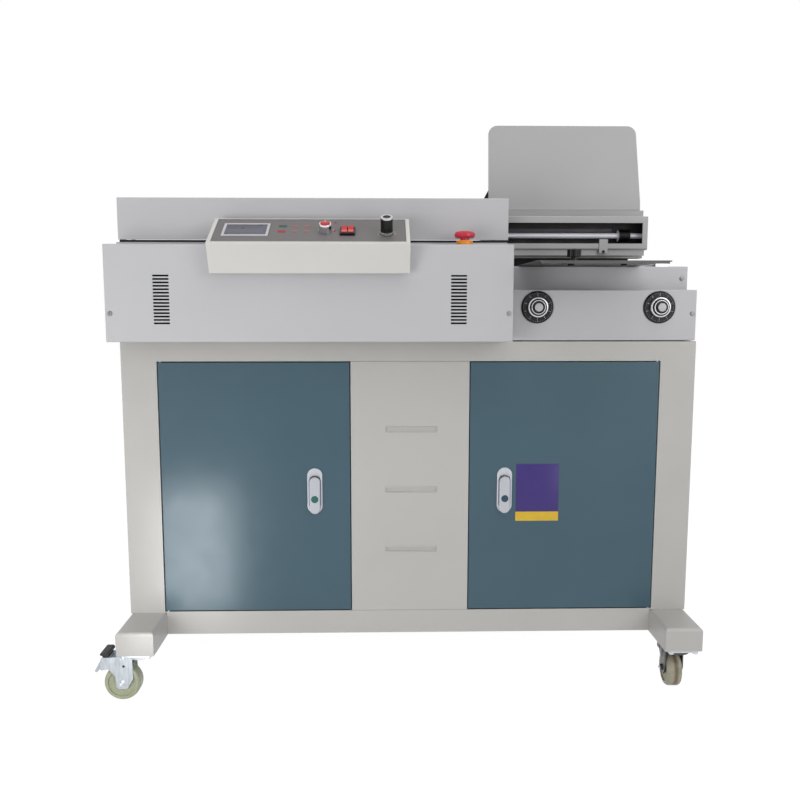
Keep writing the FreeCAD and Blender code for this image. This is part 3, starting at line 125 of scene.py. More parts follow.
def math_node(tree, operation, first, second=0.0, clamp=False):
    """Math node whose two inputs are sockets or numbers."""
    return add_node(tree, "ShaderNodeMath", {0: first, 1: second}, operation=operation,
                    use_clamp=clamp).outputs[0]


def part_by_ray(tree, lighting, shown, output, share=1.0):
    """Light the scene by one shader, and show another, by a share, to camera and mirror rays."""
    rays = add_node(tree, "ShaderNodeLightPath", {}).outputs
    factor = rays["Is Camera Ray"]
    for label in ("Is Glossy Ray", "Is Transmission Ray"):
        factor = math_node(tree, "MAXIMUM", factor, rays[label])
    mix = add_node(tree, "ShaderNodeMixShader", {"Fac": math_node(tree, "MULTIPLY", factor, share),
                                                 1: lighting.outputs[0], 2: shown.outputs[0]})
    add_node(tree, output, {"Surface": mix.outputs[0]})


print("node helpers ready")

# %% World
WALL_LIGHT = (0.37, 0.37, 0.38, 1.0)
WHITE = (1.0, 1.0, 1.0, 1.0)
world = bpy.data.worlds.new("studio")
bpy.context.scene.world = world
world.use_nodes = True
sky = world.node_tree
sky.nodes.clear()
walls, backdrop = [add_node(sky, "ShaderNodeBackground", {"Color": colour}) for colour in (WALL_LIGHT, WHITE)]
part_by_ray(sky, walls, backdrop, "ShaderNodeOutputWorld")
print("world", world.name)

# %% [markdown]
# The floor is a pale studio sweep. To the camera it is mostly its own white, so the picture keeps a
# white ground, but a share of plain matt white stays in it and takes the soft shadow of the machine.

# %% Floor
FLOOR_HALF, FLOOR_DROP = 7.0, 0.0004
MATT_WHITE = (0.82, 0.82, 0.82, 1.0)
SHADOW_SHARE = 0.14
FLOOR_GLOW = 1.13
floor_mesh = bpy.data.meshes.new("studio_floor")
floor_mesh.from_pydata([(x * FLOOR_HALF, y * FLOOR_HALF, -FLOOR_DROP) for x, y in
                        ((-1, -1), (1, -1), (1, 1), (-1, 1))], [], [(0, 1, 2, 3)])
floor = add_object("studio_floor", floor_mesh)
floor_paint = bpy.data.materials.new("studio_floor")
floor_paint.use_nodes = True
ground = floor_paint.node_tree
ground.nodes.clear()
matt = add_node(ground, "ShaderNodeBsdfDiffuse", {"Color": MATT_WHITE})
glow = add_node(ground, "ShaderNodeEmission", {"Color": WHITE, "Strength": FLOOR_GLOW})
part_by_ray(ground, matt, glow, "ShaderNodeOutputMaterial", 1.0 - SHADOW_SHARE)
floor_mesh.materials.append(floor_paint)
print("floor", 2 * FLOOR_HALF, "m square")

# %% [markdown]
# Several finishes share an effect, so each effect is a node group of its own, with named inputs. A group
# gives out only colours, masks and heights; the shader stays in each material. These helpers make such a
# group and the few nodes that all groups need.

# %% Group helpers
SOCKET_KINDS = {1: "NodeSocketFloat", 3: "NodeSocketVector", 4: "NodeSocketColor"}
SURFACE = {"Color": 4, "Roughness": 1, "Height": 1}


def shader_group(name, inputs, outputs):
    """Empty node group: inputs are {label: first value}, outputs {label: count of numbers}."""
    group = bpy.data.node_groups.new(name, "ShaderNodeTree")
    for label, value in inputs.items():
        kind = SOCKET_KINDS[len(value) if isinstance(value, tuple) else 1]
        group.interface.new_socket(label, in_out="INPUT", socket_type=kind).default_value = value
    for label, count in outputs.items():
        group.interface.new_socket(label, in_out="OUTPUT", socket_type=SOCKET_KINDS[count])
    return group, group.nodes.new("NodeGroupInput").outputs, group.nodes.new("NodeGroupOutput").inputs


def object_place(tree):
    """Position in the object's own space."""
    return add_node(tree, "ShaderNodeTexCoord", {}).outputs["Object"]


def noise_field(tree, place, scale, detail, roughness=0.5):
    """Noise texture on a position socket."""
    return add_node(tree, "ShaderNodeTexNoise", {"Vector": place, "Scale": scale, "Detail": detail,
                                                 "Roughness": roughness}).outputs["Fac"]


def spread(tree, value, low, high, to_low, to_high):
    """Map Range node."""
    return add_node(tree, "ShaderNodeMapRange", {"Value": value, "From Min": low, "From Max": high,
                                                 "To Min": to_low, "To Max": to_high}).outputs["Result"]


def swing(tree, field, amount):
    """Noise that swings about zero by an amount."""
    return math_node(tree, "MULTIPLY", spread(tree, field, 0.3, 0.7, -1.0, 1.0), amount)


def shade(tree, colour, change):
    """Colour made lighter or darker by a swing about zero."""
    factor = math_node(tree, "ADD", change, 1.0)
    return add_node(tree, "ShaderNodeVectorMath", {0: colour, "Scale": factor}, operation="SCALE").outputs[0]


def blend_colours(tree, factor, first, second):
    """Colour mix; the colours are sockets or four numbers."""
    return add_node(tree, "ShaderNodeMix", {0: factor, 6: first, 7: second}, data_type="RGBA").outputs[2]


print("group helpers ready")

# %% [markdown]
# The first group is the fine orange peel of powder paint, with a faint drift in its shade and a trace of
# dust on flat tops.

# %% Powder paint group
DUST_COLOUR = (0.62, 0.60, 0.56, 1.0)
powder, given, result = shader_group("powder_paint", {
    "Color": (0.5, 0.5, 0.5, 1.0), "Peel Scale": 700.0, "Shade Drift": 0.04, "Dust": 0.05,
    "Base Roughness": 0.4}, SURFACE)
place = object_place(powder)
facing = add_node(powder, "ShaderNodeSeparateXYZ", {0: powder.nodes["Texture Coordinate"].outputs["Normal"]})
upward = spread(powder, facing.outputs["Z"], 0.5, 1.0, 0.0, 1.0)
speckle = spread(powder, noise_field(powder, place, 60.0, 5.0, 0.7), 0.45, 0.75, 0.0, 1.0)
dust = math_node(powder, "MULTIPLY", math_node(powder, "MULTIPLY", speckle, upward), given["Dust"], clamp=True)
drift = swing(powder, noise_field(powder, place, 5.0, 3.0), given["Shade Drift"])
painted = shade(powder, given["Color"], drift)
powder.links.new(blend_colours(powder, dust, painted, DUST_COLOUR), result["Color"])
uneven = spread(powder, noise_field(powder, place, 22.0, 4.0), 0.3, 0.7, -0.04, 0.05)
rough = math_node(powder, "ADD", uneven, given["Base Roughness"])
powder.links.new(math_node(powder, "ADD", rough, dust), result["Roughness"])
powder.links.new(noise_field(powder, place, given["Peel Scale"], 2.0), result["Height"])
print("group", powder.name, len(powder.nodes), "nodes")

# %% [markdown]
# Folded sheet wears first along its bends and corners. The Bevel node returns the normal that a rounded
# edge would have; where it differs from the real face normal there is an edge. Noise breaks that mask up,
# so that the wear comes in patches, as rubbing leaves it.

# %% Edge wear group
wear, given, result = shader_group("edge_wear", {"Edge Width": 0.002, "Patch Scale": 40.0, "Amount": 0.5},
                                   {"Mask": 1})
rounded = add_node(wear, "ShaderNodeBevel", {"Radius": given["Edge Width"]}, samples=4)
flat = add_node(wear, "ShaderNodeNewGeometry", {})
likeness = add_node(wear, "ShaderNodeVectorMath", {0: rounded.outputs[0], 1: flat.outputs["Normal"]},
                    operation="DOT_PRODUCT")
edge = spread(wear, likeness.outputs["Value"], 0.98, 0.85, 0.0, 1.0)
patches = spread(wear, noise_field(wear, object_place(wear), given["Patch Scale"], 4.0, 0.6),
                 0.48, 0.62, 0.0, 1.0)
worn = math_node(wear, "MULTIPLY", math_node(wear, "MULTIPLY", edge, patches), given["Amount"], clamp=True)
wear.links.new(worn, result["Mask"])
print("group", wear.name, len(wear.nodes), "nodes")

# %% [markdown]
# Ground, plated and drawn metal all show fine lines along the way the tool went. One group stretches
# noise along a chosen axis: a large number across the lines and a small one along them.

# %% Tool lines group
lines, given, result = shader_group("tool_lines", {
    "Color": (0.6, 0.6, 0.6, 1.0), "Stretch": (20.0, 900.0, 900.0), "Contrast": 0.12,
    "Base Roughness": 0.3}, SURFACE)
place = object_place(lines)
stretched = add_node(lines, "ShaderNodeVectorMath", {0: place, 1: given["Stretch"]}, operation="MULTIPLY")
streak = noise_field(lines, stretched.outputs[0], 1.0, 3.0, 0.6)
grooves = swing(lines, streak, given["Contrast"])
lines.links.new(shade(lines, given["Color"], grooves), result["Color"])
cloud = spread(lines, noise_field(lines, place, 30.0, 3.0), 0.3, 0.7, -0.05, 0.07)
rough = math_node(lines, "ADD", math_node(lines, "ADD", grooves, cloud), given["Base Roughness"])
lines.links.new(rough, result["Roughness"])
lines.links.new(streak, result["Height"])
print("group", lines.name, len(lines.nodes), "nodes")

# %% [markdown]
# A moulded plastic or rubber skin is nearly even: a spark-eroded mould leaves a fine grain, and handling
# leaves slightly glossier patches. The same group serves knobs, pads and films with other numbers.

# %% Moulded skin group
skin, given, result = shader_group("moulded_skin", {
    "Color": (0.1, 0.1, 0.1, 1.0), "Grain Scale": 1500.0, "Variation": 0.08, "Base Roughness": 0.4}, SURFACE)
place = object_place(skin)
handled = swing(skin, noise_field(skin, place, 45.0, 4.0), given["Variation"])
skin.links.new(shade(skin, given["Color"], handled), result["Color"])
skin.links.new(math_node(skin, "ADD", handled, given["Base Roughness"]), result["Roughness"])
skin.links.new(noise_field(skin, place, given["Grain Scale"], 2.0), result["Height"])
print("group", skin.name, len(skin.nodes), "nodes")

# %% [markdown]
# Every finish below starts the same way: a Principled shader whose constants sit on its own sockets, one
# effect group for colour, roughness and height, and a Bump node whose starting normal comes from a Bevel
# node, so that each hard CAD edge catches light as a real, slightly rounded edge does. Three short
# functions then name the makers' processes: powder coating, drawing or grinding of metal, and moulding.

# %% Material helpers
BUMP_DEPTH = 0.0004


def rgb(red, green, blue):
    """Screen colour, 0 to 255, as linear numbers."""
    return tuple((c / 255 / 12.92) if c <= 10 else ((c / 255 + 0.055) / 1.055) ** 2.4
                 for c in (red, green, blue)) + (1.0,)


def start_material(name, group, values, edge, bump, worn_by, **constants):
    """Material from one effect group, put on CAD nodes; edge is the radius its sharp edges seem to have."""
    material = bpy.data.materials.new(name)
    material.use_nodes = True
    tree = material.node_tree
    shader = tree.nodes["Principled BSDF"]
    for label, value in constants.items():
        shader.inputs[label.replace("_", " ")].default_value = value
    effect = add_node(tree, "ShaderNodeGroup", values, node_tree=group, name="effect").outputs
    bumped = add_node(tree, "ShaderNodeBump", {"Strength": bump, "Distance": BUMP_DEPTH,
                                               "Height": effect["Height"]})
    if edge:
        eased = add_node(tree, "ShaderNodeBevel", {"Radius": edge}, samples=6)
        tree.links.new(eased.outputs[0], bumped.inputs["Normal"])
    for source, label in ((effect["Color"], "Base Color"), (effect["Roughness"], "Roughness"),
                          (bumped.outputs[0], "Normal")):
        tree.links.new(source, shader.inputs[label])
    for node in worn_by:
        nodes[node].data.materials.clear()
        nodes[node].data.materials.append(material)
    return material


def recolour(material, mask, colour):
    """Mix a second colour into a finish by a mask."""
    tree = material.node_tree
    mixed = blend_colours(tree, mask, tree.nodes["effect"].outputs["Color"], rgb(*colour))
    tree.links.new(mixed, tree.nodes["Principled BSDF"].inputs["Base Color"])


def powder_coat(name, colour, roughness, drift, dust, edge, bump, worn, *worn_by):
    """Powder paint; worn is the colour, amount, width and patch scale of the wear on its edges."""
    material = start_material(name, powder, {"Color": rgb(*colour), "Base Roughness": roughness,
                                             "Shade Drift": drift, "Dust": dust}, edge, bump, worn_by)
    worn_colour, amount, width, patch_scale = worn
    mask = add_node(material.node_tree, "ShaderNodeGroup",
                    {"Amount": amount, "Edge Width": width, "Patch Scale": patch_scale}, node_tree=wear)
    recolour(material, mask.outputs["Mask"], worn_colour)
    return material


def drawn_metal(name, colour, stretch, contrast, roughness, edge, bump, *worn_by, metallic=1.0):
    """Metal with the lines that its tool left; stretch is largest across them."""
    return start_material(name, lines, {"Color": rgb(*colour), "Stretch": stretch, "Contrast": contrast,
                                        "Base Roughness": roughness}, edge, bump, worn_by, Metallic=metallic)


def plastic(name, colour, roughness, *worn_by, grain=1500.0, variation=0.06, bump=0.06, edge=0.0006,
            **constants):
    """Moulded, printed or cast skin."""
    return start_material(name, skin, {"Color": rgb(*colour), "Grain Scale": grain, "Variation": variation,
                                       "Base Roughness": roughness}, edge, bump, worn_by, **constants)


print("material helpers ready")

# %% [markdown]
# The cabinet is folded steel with a warm grey powder coat; the head's covers have the same coat in a
# cooler batch, and the control box a lighter cream one. Powder is sprayed dry and melts in an oven, which
# leaves the peel. The clamp's folded sheets are a shade darker.

# %% Grey coats
powder_coat("cabinet_paint", (182, 180, 176), 0.42, 0.02, 0.10, 0.0012, 0.10,
            ((150, 148, 144), 0.35, 0.0016, 38.0), "foot_beams", "cabinet_sides", "cabinet_floor",
            "cabinet_back", "front_frame", "centre_panel", "inner_walls", "top_deck")
head_paint = powder_coat("head_paint", (182, 182, 184), 0.38, 0.015, 0.08, 0.0010, 0.10,
                         ((226, 226, 228), 0.55, 0.0014, 18.0), "front_cover", "rear_housing",
                         "right_front_panel", "right_step_panel", "hood", "hood_bridge")
powder_coat("box_paint", (204, 202, 197), 0.35, 0.015, 0.05, 0.0012, 0.08,
            ((240, 240, 238), 0.5, 0.0016, 26.0), "control_box")
powder_coat("clamp_paint", (168, 168, 168), 0.45, 0.015, 0.08, 0.0010, 0.10,
            ((205, 205, 205), 0.30, 0.0014, 30.0), "back_jaw", "book_rest_plate", "front_jaw")
print("finishes so far", len(bpy.data.materials))

# %% [markdown]
# The doors are a deep slate teal, a little glossier, so they mirror the pale floor in their lower part.
# Wear along a dark door's edge shows as a paler line. The carriage and the cutter motor are black
# powder-coated iron, with grey wear.

# %% Dark coats
powder_coat("door_paint", (56, 84, 97), 0.34, 0.05, 0.04, 0.0010, 0.12,
            ((120, 134, 142), 0.35, 0.0014, 34.0), "left_door", "right_door")
powder_coat("black_paint", (30, 30, 32), 0.45, 0.08, 0.15, 0.0012, 0.15,
            ((96, 96, 96), 0.4, 0.0016, 40.0), "carriage_frame", "cutter_motor")
print("finishes so far", len(bpy.data.materials))

# %% [markdown]
# The zinc plating of casters and hinges, the ground rails, the satin lock bodies and the tray are metals that
# differ by their lines and roughness. Bare metal has its Metallic at 1; a lower number on rod, locks and tray
# leaves some matt grey, as a satin surface has. The tray's dark colour is painted shade for the shadow on its
# underside. One caster fork has a darker copy of the zinc, painted shade from the foot over it.

# %% Metals
LOCK_LINES = (900.0, 900.0, 30.0)
drawn_metal("zinc_plate", (194, 200, 206), (260.0, 260.0, 40.0), 0.12, 0.36, 0.0008, 0.05, "caster_plates",
            "door_hinges", "front_left_fork", "rear_left_fork", "rear_right_fork")
drawn_metal("ground_steel", (168, 168, 174), (12.0, 1200.0, 1200.0), 0.05, 0.14, 0.0006, 0.03, "guide_rails",
            "nip_table", "cutter_disc", "glue_roller")
drawn_metal("polished_metal", (226, 226, 230), (60.0, 60.0, 900.0), 0.03, 0.12, 0.0005, 0.02, "selector_knob")
drawn_metal("satin_lock", (192, 194, 202), LOCK_LINES, 0.05, 0.38, 0.0006, 0.03, "left_lock_base",
            "right_lock_base", "left_lock_spindle", "right_lock_spindle", metallic=0.85)
drawn_metal("lever_metal", (182, 184, 191), LOCK_LINES, 0.06, 0.42, 0.0006, 0.03, "left_lock_lever",
            "right_lock_lever", metallic=0.85)
# Darker copy of the zinc on the front right fork: painted shade from the foot over it.
drawn_metal("shaded_zinc", (88, 87, 88), (90.0, 90.0, 30.0), 0.35, 0.45, 0.0008, 0.08, "front_right_fork",
            metallic=0.9)
drawn_metal("chromed_rod", (232, 233, 240), (8.0, 700.0, 700.0), 0.03, 0.55, 0.0, 0.02, "jaw_shafts",
            metallic=0.3)
# Dark tray colour: painted shade of its shadowed underside.
drawn_metal("tray_shade_metal", (84, 82, 81), (30.0, 500.0, 500.0), 0.10, 0.34, 0.0006, 0.05, "cover_tray",
            metallic=0.6)
plastic("cast_metal", (168, 170, 172), 0.5, "glue_tank", grain=500.0, variation=0.08, bump=0.25, edge=0.0010,
        Metallic=0.9)
print("finishes so far", len(bpy.data.materials))

# %% [markdown]
# Plastics: black knobs and pads, the red and yellow stop button, red rockers, coloured lock buttons, the
# grey printed film of the control panel and the cast nylon wheels.

# %% Plastics
black_plastic = plastic("black_plastic", (14, 14, 15), 0.32, "tray_knob", "speed_knob", "left_dial",
                        "right_dial", Specular_IOR_Level=0.3)
black_rubber = plastic("black_rubber", (26, 26, 26), 0.62, grain=900.0, bump=0.25)
plastic("stop_red", (184, 34, 54), 0.28, "stop_cap")
plastic("stop_yellow", (228, 140, 28), 0.34, "stop_collar")
plastic("rocker_red", (186, 20, 26), 0.18, "left_rocker", "right_rocker", Coat_Weight=0.4)
plastic("teal_button", (22, 96, 86), 0.25, "left_lock_button")
plastic("blue_button", (20, 62, 82), 0.25, "right_lock_button")
plastic("fascia_film", (112, 108, 108), 0.5, "control_fascia", grain=2200.0, variation=0.02, bump=0.05,
        Specular_IOR_Level=0.25)
plastic("display_frame", (188, 188, 190), 0.35, "lcd_window")
plastic("cast_nylon", (164, 169, 142), 0.38, "front_left_wheel", "rear_left_wheel", "rear_right_wheel",
        grain=300.0, variation=0.05, bump=0.05, Subsurface_Weight=0.25, Subsurface_Scale=0.004)
print("finishes so far", len(bpy.data.materials))

# %% [markdown]
# The right front wheel is soiled: a brown streak runs round the middle of its tread. The distance from
# the wheel's middle along its axle makes the mask, so the streak turns with the wheel.

# %% Soiled wheel
STREAK_HALF, STREAK_EDGE, STREAK_STRENGTH = 0.0015, 0.0065, 0.75


def object_axis(material, axis):
    """Material's tree and one axis of the object's own space."""
    tree = material.node_tree
    return tree, add_node(tree, "ShaderNodeSeparateXYZ", {0: object_place(tree)}).outputs[axis]


soiled_nylon = plastic("soiled_nylon", (164, 160, 140), 0.5, "front_right_wheel", grain=300.0,
                       variation=0.18, bump=0.12, Subsurface_Weight=0.15, Subsurface_Scale=0.004)
wheel_low, wheel_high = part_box("front_right_wheel")
wheel_middle = (wheel_low[0] + wheel_high[0]) / 2 - nodes["front_right_wheel"].matrix_world.translation.x
tree, along_axle = object_axis(soiled_nylon, "X")
off_middle = math_node(tree, "ABSOLUTE", math_node(tree, "SUBTRACT", along_axle, wheel_middle))
recolour(soiled_nylon, spread(tree, off_middle, STREAK_HALF, STREAK_EDGE, STREAK_STRENGTH, 0.0), (92, 66, 42))
print("wheel middle", round(wheel_middle, 4))

# %% [markdown]
# A brake pedal is a plated arm with a rubber tread pushed over its end. The CAD has them in one piece, so
# the finish changes by height: rubber above, plated steel below.

# %% Brake pedals
TREAD_THICK = 0.0125
PLATED = (180, 186, 192)
pedal_finish = plastic("pedal_finish", (24, 24, 25), 0.55, "front_left_brake_pedal",
                       "front_right_brake_pedal", grain=900.0, bump=0.2)
pedal_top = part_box("front_left_brake_pedal")[1][2] - nodes["front_left_brake_pedal"].matrix_world.translation.z
tree, height = object_axis(pedal_finish, "Z")
below_tread = math_node(tree, "LESS_THAN", height, pedal_top - TREAD_THICK)
tree.links.new(below_tread, tree.nodes["Principled BSDF"].inputs["Metallic"])
recolour(pedal_finish, below_tread, PLATED)
print("nodes without a finish:", [name for name, node in nodes.items() if not node.data.materials
                                  or not node.data.materials[0].use_nodes])

# %% [markdown]
# The small fitted pieces come next. Each one is mesh code: an outline is cut from sheet, a section is
# drawn out along a line, or a profile is turned as on a lathe. They are drawn in millimetres on a local
# plane, with its third axis pointing out of the surface, so a screw is drawn once and set on any face.

# %% Planes to work on
MM = 0.001
TABLE = 740.0
PANEL_FOLD = (-127.0, TABLE + 193.0)
SLOPE = math.radians(28.75)
FRONT = ((1, 0, 0), (0, 0, 1), (0, -1, 0))
BACK = ((-1, 0, 0), (0, 0, 1), (0, 1, 0))
LEFT_SIDE = ((0, -1, 0), (0, 0, 1), (-1, 0, 0))
RIGHT_SIDE = ((0, 1, 0), (0, 0, 1), (1, 0, 0))
DOWNWARD = ((1, 0, 0), (0, -1, 0), (0, 0, -1))
PANEL = ((1, 0, 0), (0, math.cos(SLOPE), math.sin(SLOPE)), (0, -math.sin(SLOPE), math.cos(SLOPE)))


def turned_to(axes):
    """Rotation that lays a plane's three axes along the given ones."""
    return Matrix(axes).transposed().to_4x4()


def plane_at(x, y, z, axes):
    """Matrix from local millimetres to the frame's metres."""
    return Matrix.Translation(Vector((x, y, z)) * MM) @ turned_to(axes) @ Matrix.Scale(MM, 4)


def on_panel(x, up):
    """Place on the sloping control panel: x along it, up its slope from the front fold."""
    fold_y, fold_z = PANEL_FOLD
    return plane_at(x, fold_y + up * math.cos(SLOPE), fold_z + up * math.sin(SLOPE), PANEL)


def turn_about(angle):
    """Turn about a plane's third axis."""
    return Matrix.Rotation(angle, 4, "Z")


print("planes ready; panel slope", round(math.degrees(SLOPE), 2), "degrees")

# %% [markdown]
# A lathe profile is a list of radius and height. A slab is an outline with a thickness, and its outer
# rim is beveled in the same step, because a sharp rim looks drawn rather than made.

# %% Mesh helpers
def turn_on_lathe(mesh, plane, profile, steps):
    """Revolve (radius, height) points about the plane's third axis."""
    angles = [2 * math.pi * step / steps for step in range(steps)]
    rings = []
    for radius, height in profile:
        if radius < 1e-6:
            rings.append([mesh.verts.new(plane @ Vector((0, 0, height)))])
            continue
        rings.append([mesh.verts.new(plane @ Vector((radius * math.cos(a), radius * math.sin(a), height)))
                      for a in angles])
    for lower, upper in zip(rings, rings[1:]):
        for step in range(steps):
            corners = [lower[step % len(lower)], lower[(step + 1) % len(lower)],
                       upper[(step + 1) % len(upper)], upper[step % len(upper)]]
            distinct = list(dict.fromkeys(corners))
            if len(distinct) > 2:
                mesh.faces.new(distinct)


def rounded_outline(half_x, half_y, radius, steps=6):
    """Corners of a rectangle whose corners are arcs, counter-clockwise."""
    points = []
    for sign_x, sign_y, start in ((1, 1, 0), (-1, 1, 90), (-1, -1, 180), (1, -1, 270)):
        for step in range(steps + 1):
            angle = math.radians(start + 90 * step / steps)
            points.append((sign_x * (half_x - radius) + radius * math.cos(angle),
                           sign_y * (half_y - radius) + radius * math.sin(angle)))
    return points


def join_loops(mesh, loops):
    """Walls between loops of the same number of corners."""
    for first, second in zip(loops, loops[1:]):
        for i in range(len(first)):
            j = (i + 1) % len(first)
            mesh.faces.new([first[i], first[j], second[j], second[i]])


def cut_slab(mesh, plane, outline, low, high, rim=0.0):
    """Prism over an outline, its upper rim drawn in by a bevel."""
    middle = Vector([sum(p[i] for p in outline) / len(outline) for i in (0, 1)])
    layers = [(low, 0.0), (high - rim, 0.0)]
    if rim:
        layers += [(high - rim * 0.3, rim * 0.3), (high, rim)]
    rings = []
    for height, inset in layers:
        ring = []
        for point in outline:
            away = Vector(point) - middle
            away = away * (1 - inset / away.length)
            ring.append(mesh.verts.new(plane @ Vector((middle.x + away.x, middle.y + away.y, height))))
        rings.append(ring)
    mesh.faces.new(list(reversed(rings[0])))
    mesh.faces.new(rings[-1])
    join_loops(mesh, rings)


def draw_out(mesh, section, start, end):
    """Bar along X: the section is (y, height above the table) points."""
    rings = [[mesh.verts.new(Vector((x, y, TABLE + z)) * MM) for y, z in section] for x in (start, end)]
    join_loops(mesh, rings)
    mesh.faces.new(list(reversed(rings[0])))
    mesh.faces.new(rings[1])


def add_copy(mesh, ready, place):
    """Add a ready mesh, moved by a matrix."""
    start = len(mesh.verts)
    mesh.from_mesh(ready)
    mesh.verts.ensure_lookup_table()
    for vert in mesh.verts[start:]:
        vert.co = place @ vert.co


print("lathe, slab and bar helpers ready")

# %% [markdown]
# The last helpers turn such a mesh into an object: they name it, give it its finish and let it ride on the CAD
# body that carries it. Most pieces are one outline or one profile repeated at several places, so each of these
# kinds has a function of its own.

# %% Piece helpers
SMOOTH_BELOW = math.radians(35.0)


def built_mesh(name, build):
    """Mesh from a function that fills a bmesh."""
    shape = bmesh.new()
    build(shape)
    bmesh.ops.recalc_face_normals(shape, faces=shape.faces)
    mesh = bpy.data.meshes.new(name)
    shape.to_mesh(mesh)
    shape.free()
    return mesh


def fit_piece(name, build, material, body, slot):
    """Object from a function that fills a bmesh, fixed to a body."""
    mesh = built_mesh(name, build)
    for polygon in mesh.polygons:
        polygon.use_smooth = True
    mesh.set_sharp_from_angle(angle=SMOOTH_BELOW)
    mesh.materials.append(material)
    piece = add_object(name, mesh)
    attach(piece, body)
    return piece


def turned_piece(name, planes, profiles, steps, *fit):
    """Lathe profiles at each of several places; fit is material, body and slot; the slot is not used."""
    return fit_piece(name, lambda mesh: [turn_on_lathe(mesh, plane, profile, steps)
                                         for plane in planes for profile in profiles], *fit)


def cut_piece(name, planes, outline, low, high, rim, *fit):
    """One slab at each of several places."""
    return fit_piece(name, lambda mesh: [cut_slab(mesh, plane, outline, low, high, rim)
                                         for plane in planes], *fit)


def bar_piece(name, section, start, end, *fit):
    """Bar along X."""
    return fit_piece(name, lambda mesh: draw_out(mesh, section, start, end), *fit)


print("piece helpers ready")

# %% [markdown]
# A black rubber strip runs along the ledge: painted shade, the dark line of the gap under the hood across the
# head. It is an extruded section with a rounded lip, so it is drawn out along X, and so is the lip in head paint
# before it, a painted highlight on the ledge's fold.
# Behind the two columns of air slots sit black pads, painted shade for the dark inside of the slots: thin slabs
# with an open-celled, bumpy skin.

# %% Gap shade, fold highlight and slot shade
# Near-black pads behind the air slots: painted shade inside the slots.
shade_foam = plastic("slot_shade_foam", (6, 6, 7), 0.9, grain=420.0, variation=0.25, bump=0.8, edge=0.0,
               Specular_IOR_Level=0.1)
GAP_SHADE_SECTION = ((4.05, 190), (7.6, 190), (7.6, 206.2), (7.0, 207.2), (5.8, 207.6), (4.6, 207.2), (4.05, 206.2))
FOLD_HIGHLIGHT_SECTION = ((2.6, 193.9), (3.9, 193.9), (3.9, 202.4), (3.6, 202.9), (2.9, 202.9), (2.6, 202.4))
VENTS = {"left": -491.0, "right": 93.5}
SHADE_PAD_THICK, SHADE_PAD_RIM, SHADE_PAD_CORNER = 2.4, 0.8, 4.0


def filter_pads(name, y, z, axes, half_x, half_z):
    """Black pads behind the left and the right air slots, painted shade inside them."""
    for side, x in VENTS.items():
        cut_piece(f"{name}_{side}", [plane_at(x, y, z, axes)], rounded_outline(half_x, half_z, SHADE_PAD_CORNER),
                  0.0, SHADE_PAD_THICK, SHADE_PAD_RIM, shade_foam, "frame", "black_rubber")


# Black strip on the ledge: painted shade of the gap under the hood.
bar_piece("hood_gap_shade", GAP_SHADE_SECTION, -593.5, 199.0, black_rubber, "frame", "black_rubber")
# Pale lip in head paint: painted highlight of the ledge's rounded fold.
bar_piece("fold_highlight_lip", FOLD_HIGHLIGHT_SECTION, -600.0, 200.0, head_paint, "frame", "head_paint")
filter_pads("vent_slot_shade", -78.7, TABLE + 86.5, BACK, 21, 54)
print("seal, fold and filters fitted at", VENTS)

# %% [markdown]
# A black rubber strip is stuck on the jambs round each door: over it, below it and beside its lock. It is
# painted shade, the fine dark line of the gap round the door. The hinge side has none, because the door turns
# there. The head's rear air slots get black pads too, painted shade inside the slots, on the inside of the
# sheet.

# %% Door gap shade
STRIP, STRIP_BACK, STRIP_REACH, STRIP_RIM, GLUE_LINE = 0.9, 14.0, 13.2, 0.2, 0.02
DOOR_INNER, DOOR_OUTER, DOOR_LOW, DOOR_HIGH, DOOR_GAP = 126.6, 524.6, 161.0, 697.0, 2.0
REAR_INNER = 396.75


def door_strips(mesh):
    half_width, half_height = (DOOR_OUTER - DOOR_INNER) / 2, (DOOR_HIGH - DOOR_LOW) / 2
    middle_x, middle_z = (DOOR_OUTER + DOOR_INNER) / 2, (DOOR_HIGH + DOOR_LOW) / 2
    off_jamb = DOOR_GAP - STRIP / 2 - GLUE_LINE
    for side in (-1, 1):
        for x, z, half_x, half_z in (
                (middle_x, middle_z - half_height - off_jamb, half_width, STRIP / 2),
                (middle_x, middle_z + half_height + off_jamb, half_width, STRIP / 2),
                (DOOR_INNER - off_jamb, middle_z, STRIP / 2, half_height)):
            cut_slab(mesh, plane_at(side * x, STRIP_BACK, z, FRONT),
                     [(-half_x, -half_z), (half_x, -half_z), (half_x, half_z), (-half_x, half_z)],
                     0.0, STRIP_REACH, STRIP_RIM)


# Black strips on the jambs: painted shade of the gaps round the doors.
fit_piece("door_strips", door_strips, black_rubber, "frame", "black_rubber")
# Black pads behind the rear slots: painted shade inside them.
filter_pads("rear_slot_shade", REAR_INNER, TABLE + 78.5, FRONT, 24, 36)
print("door strips", STRIP, "mm thick")

# %% [markdown]
# Inside the front jaw everything is painted black, so the bright tie rod stands out. The lining is a thin folded
# sheet on the cavity's walls, with a flat stiffener bar behind the rod, coloured dark grey as a painted
# reflection of the rod on the lining. The rod's stop collar gets a black knurled sleeve: its ribs are real
# geometry, made by a lathe profile whose radius steps at each rib.

# %% Front jaw lining
lining_paint = plastic("lining_paint", (30, 28, 31), 0.55, grain=700.0, variation=0.12, bump=0.12, edge=0.0)
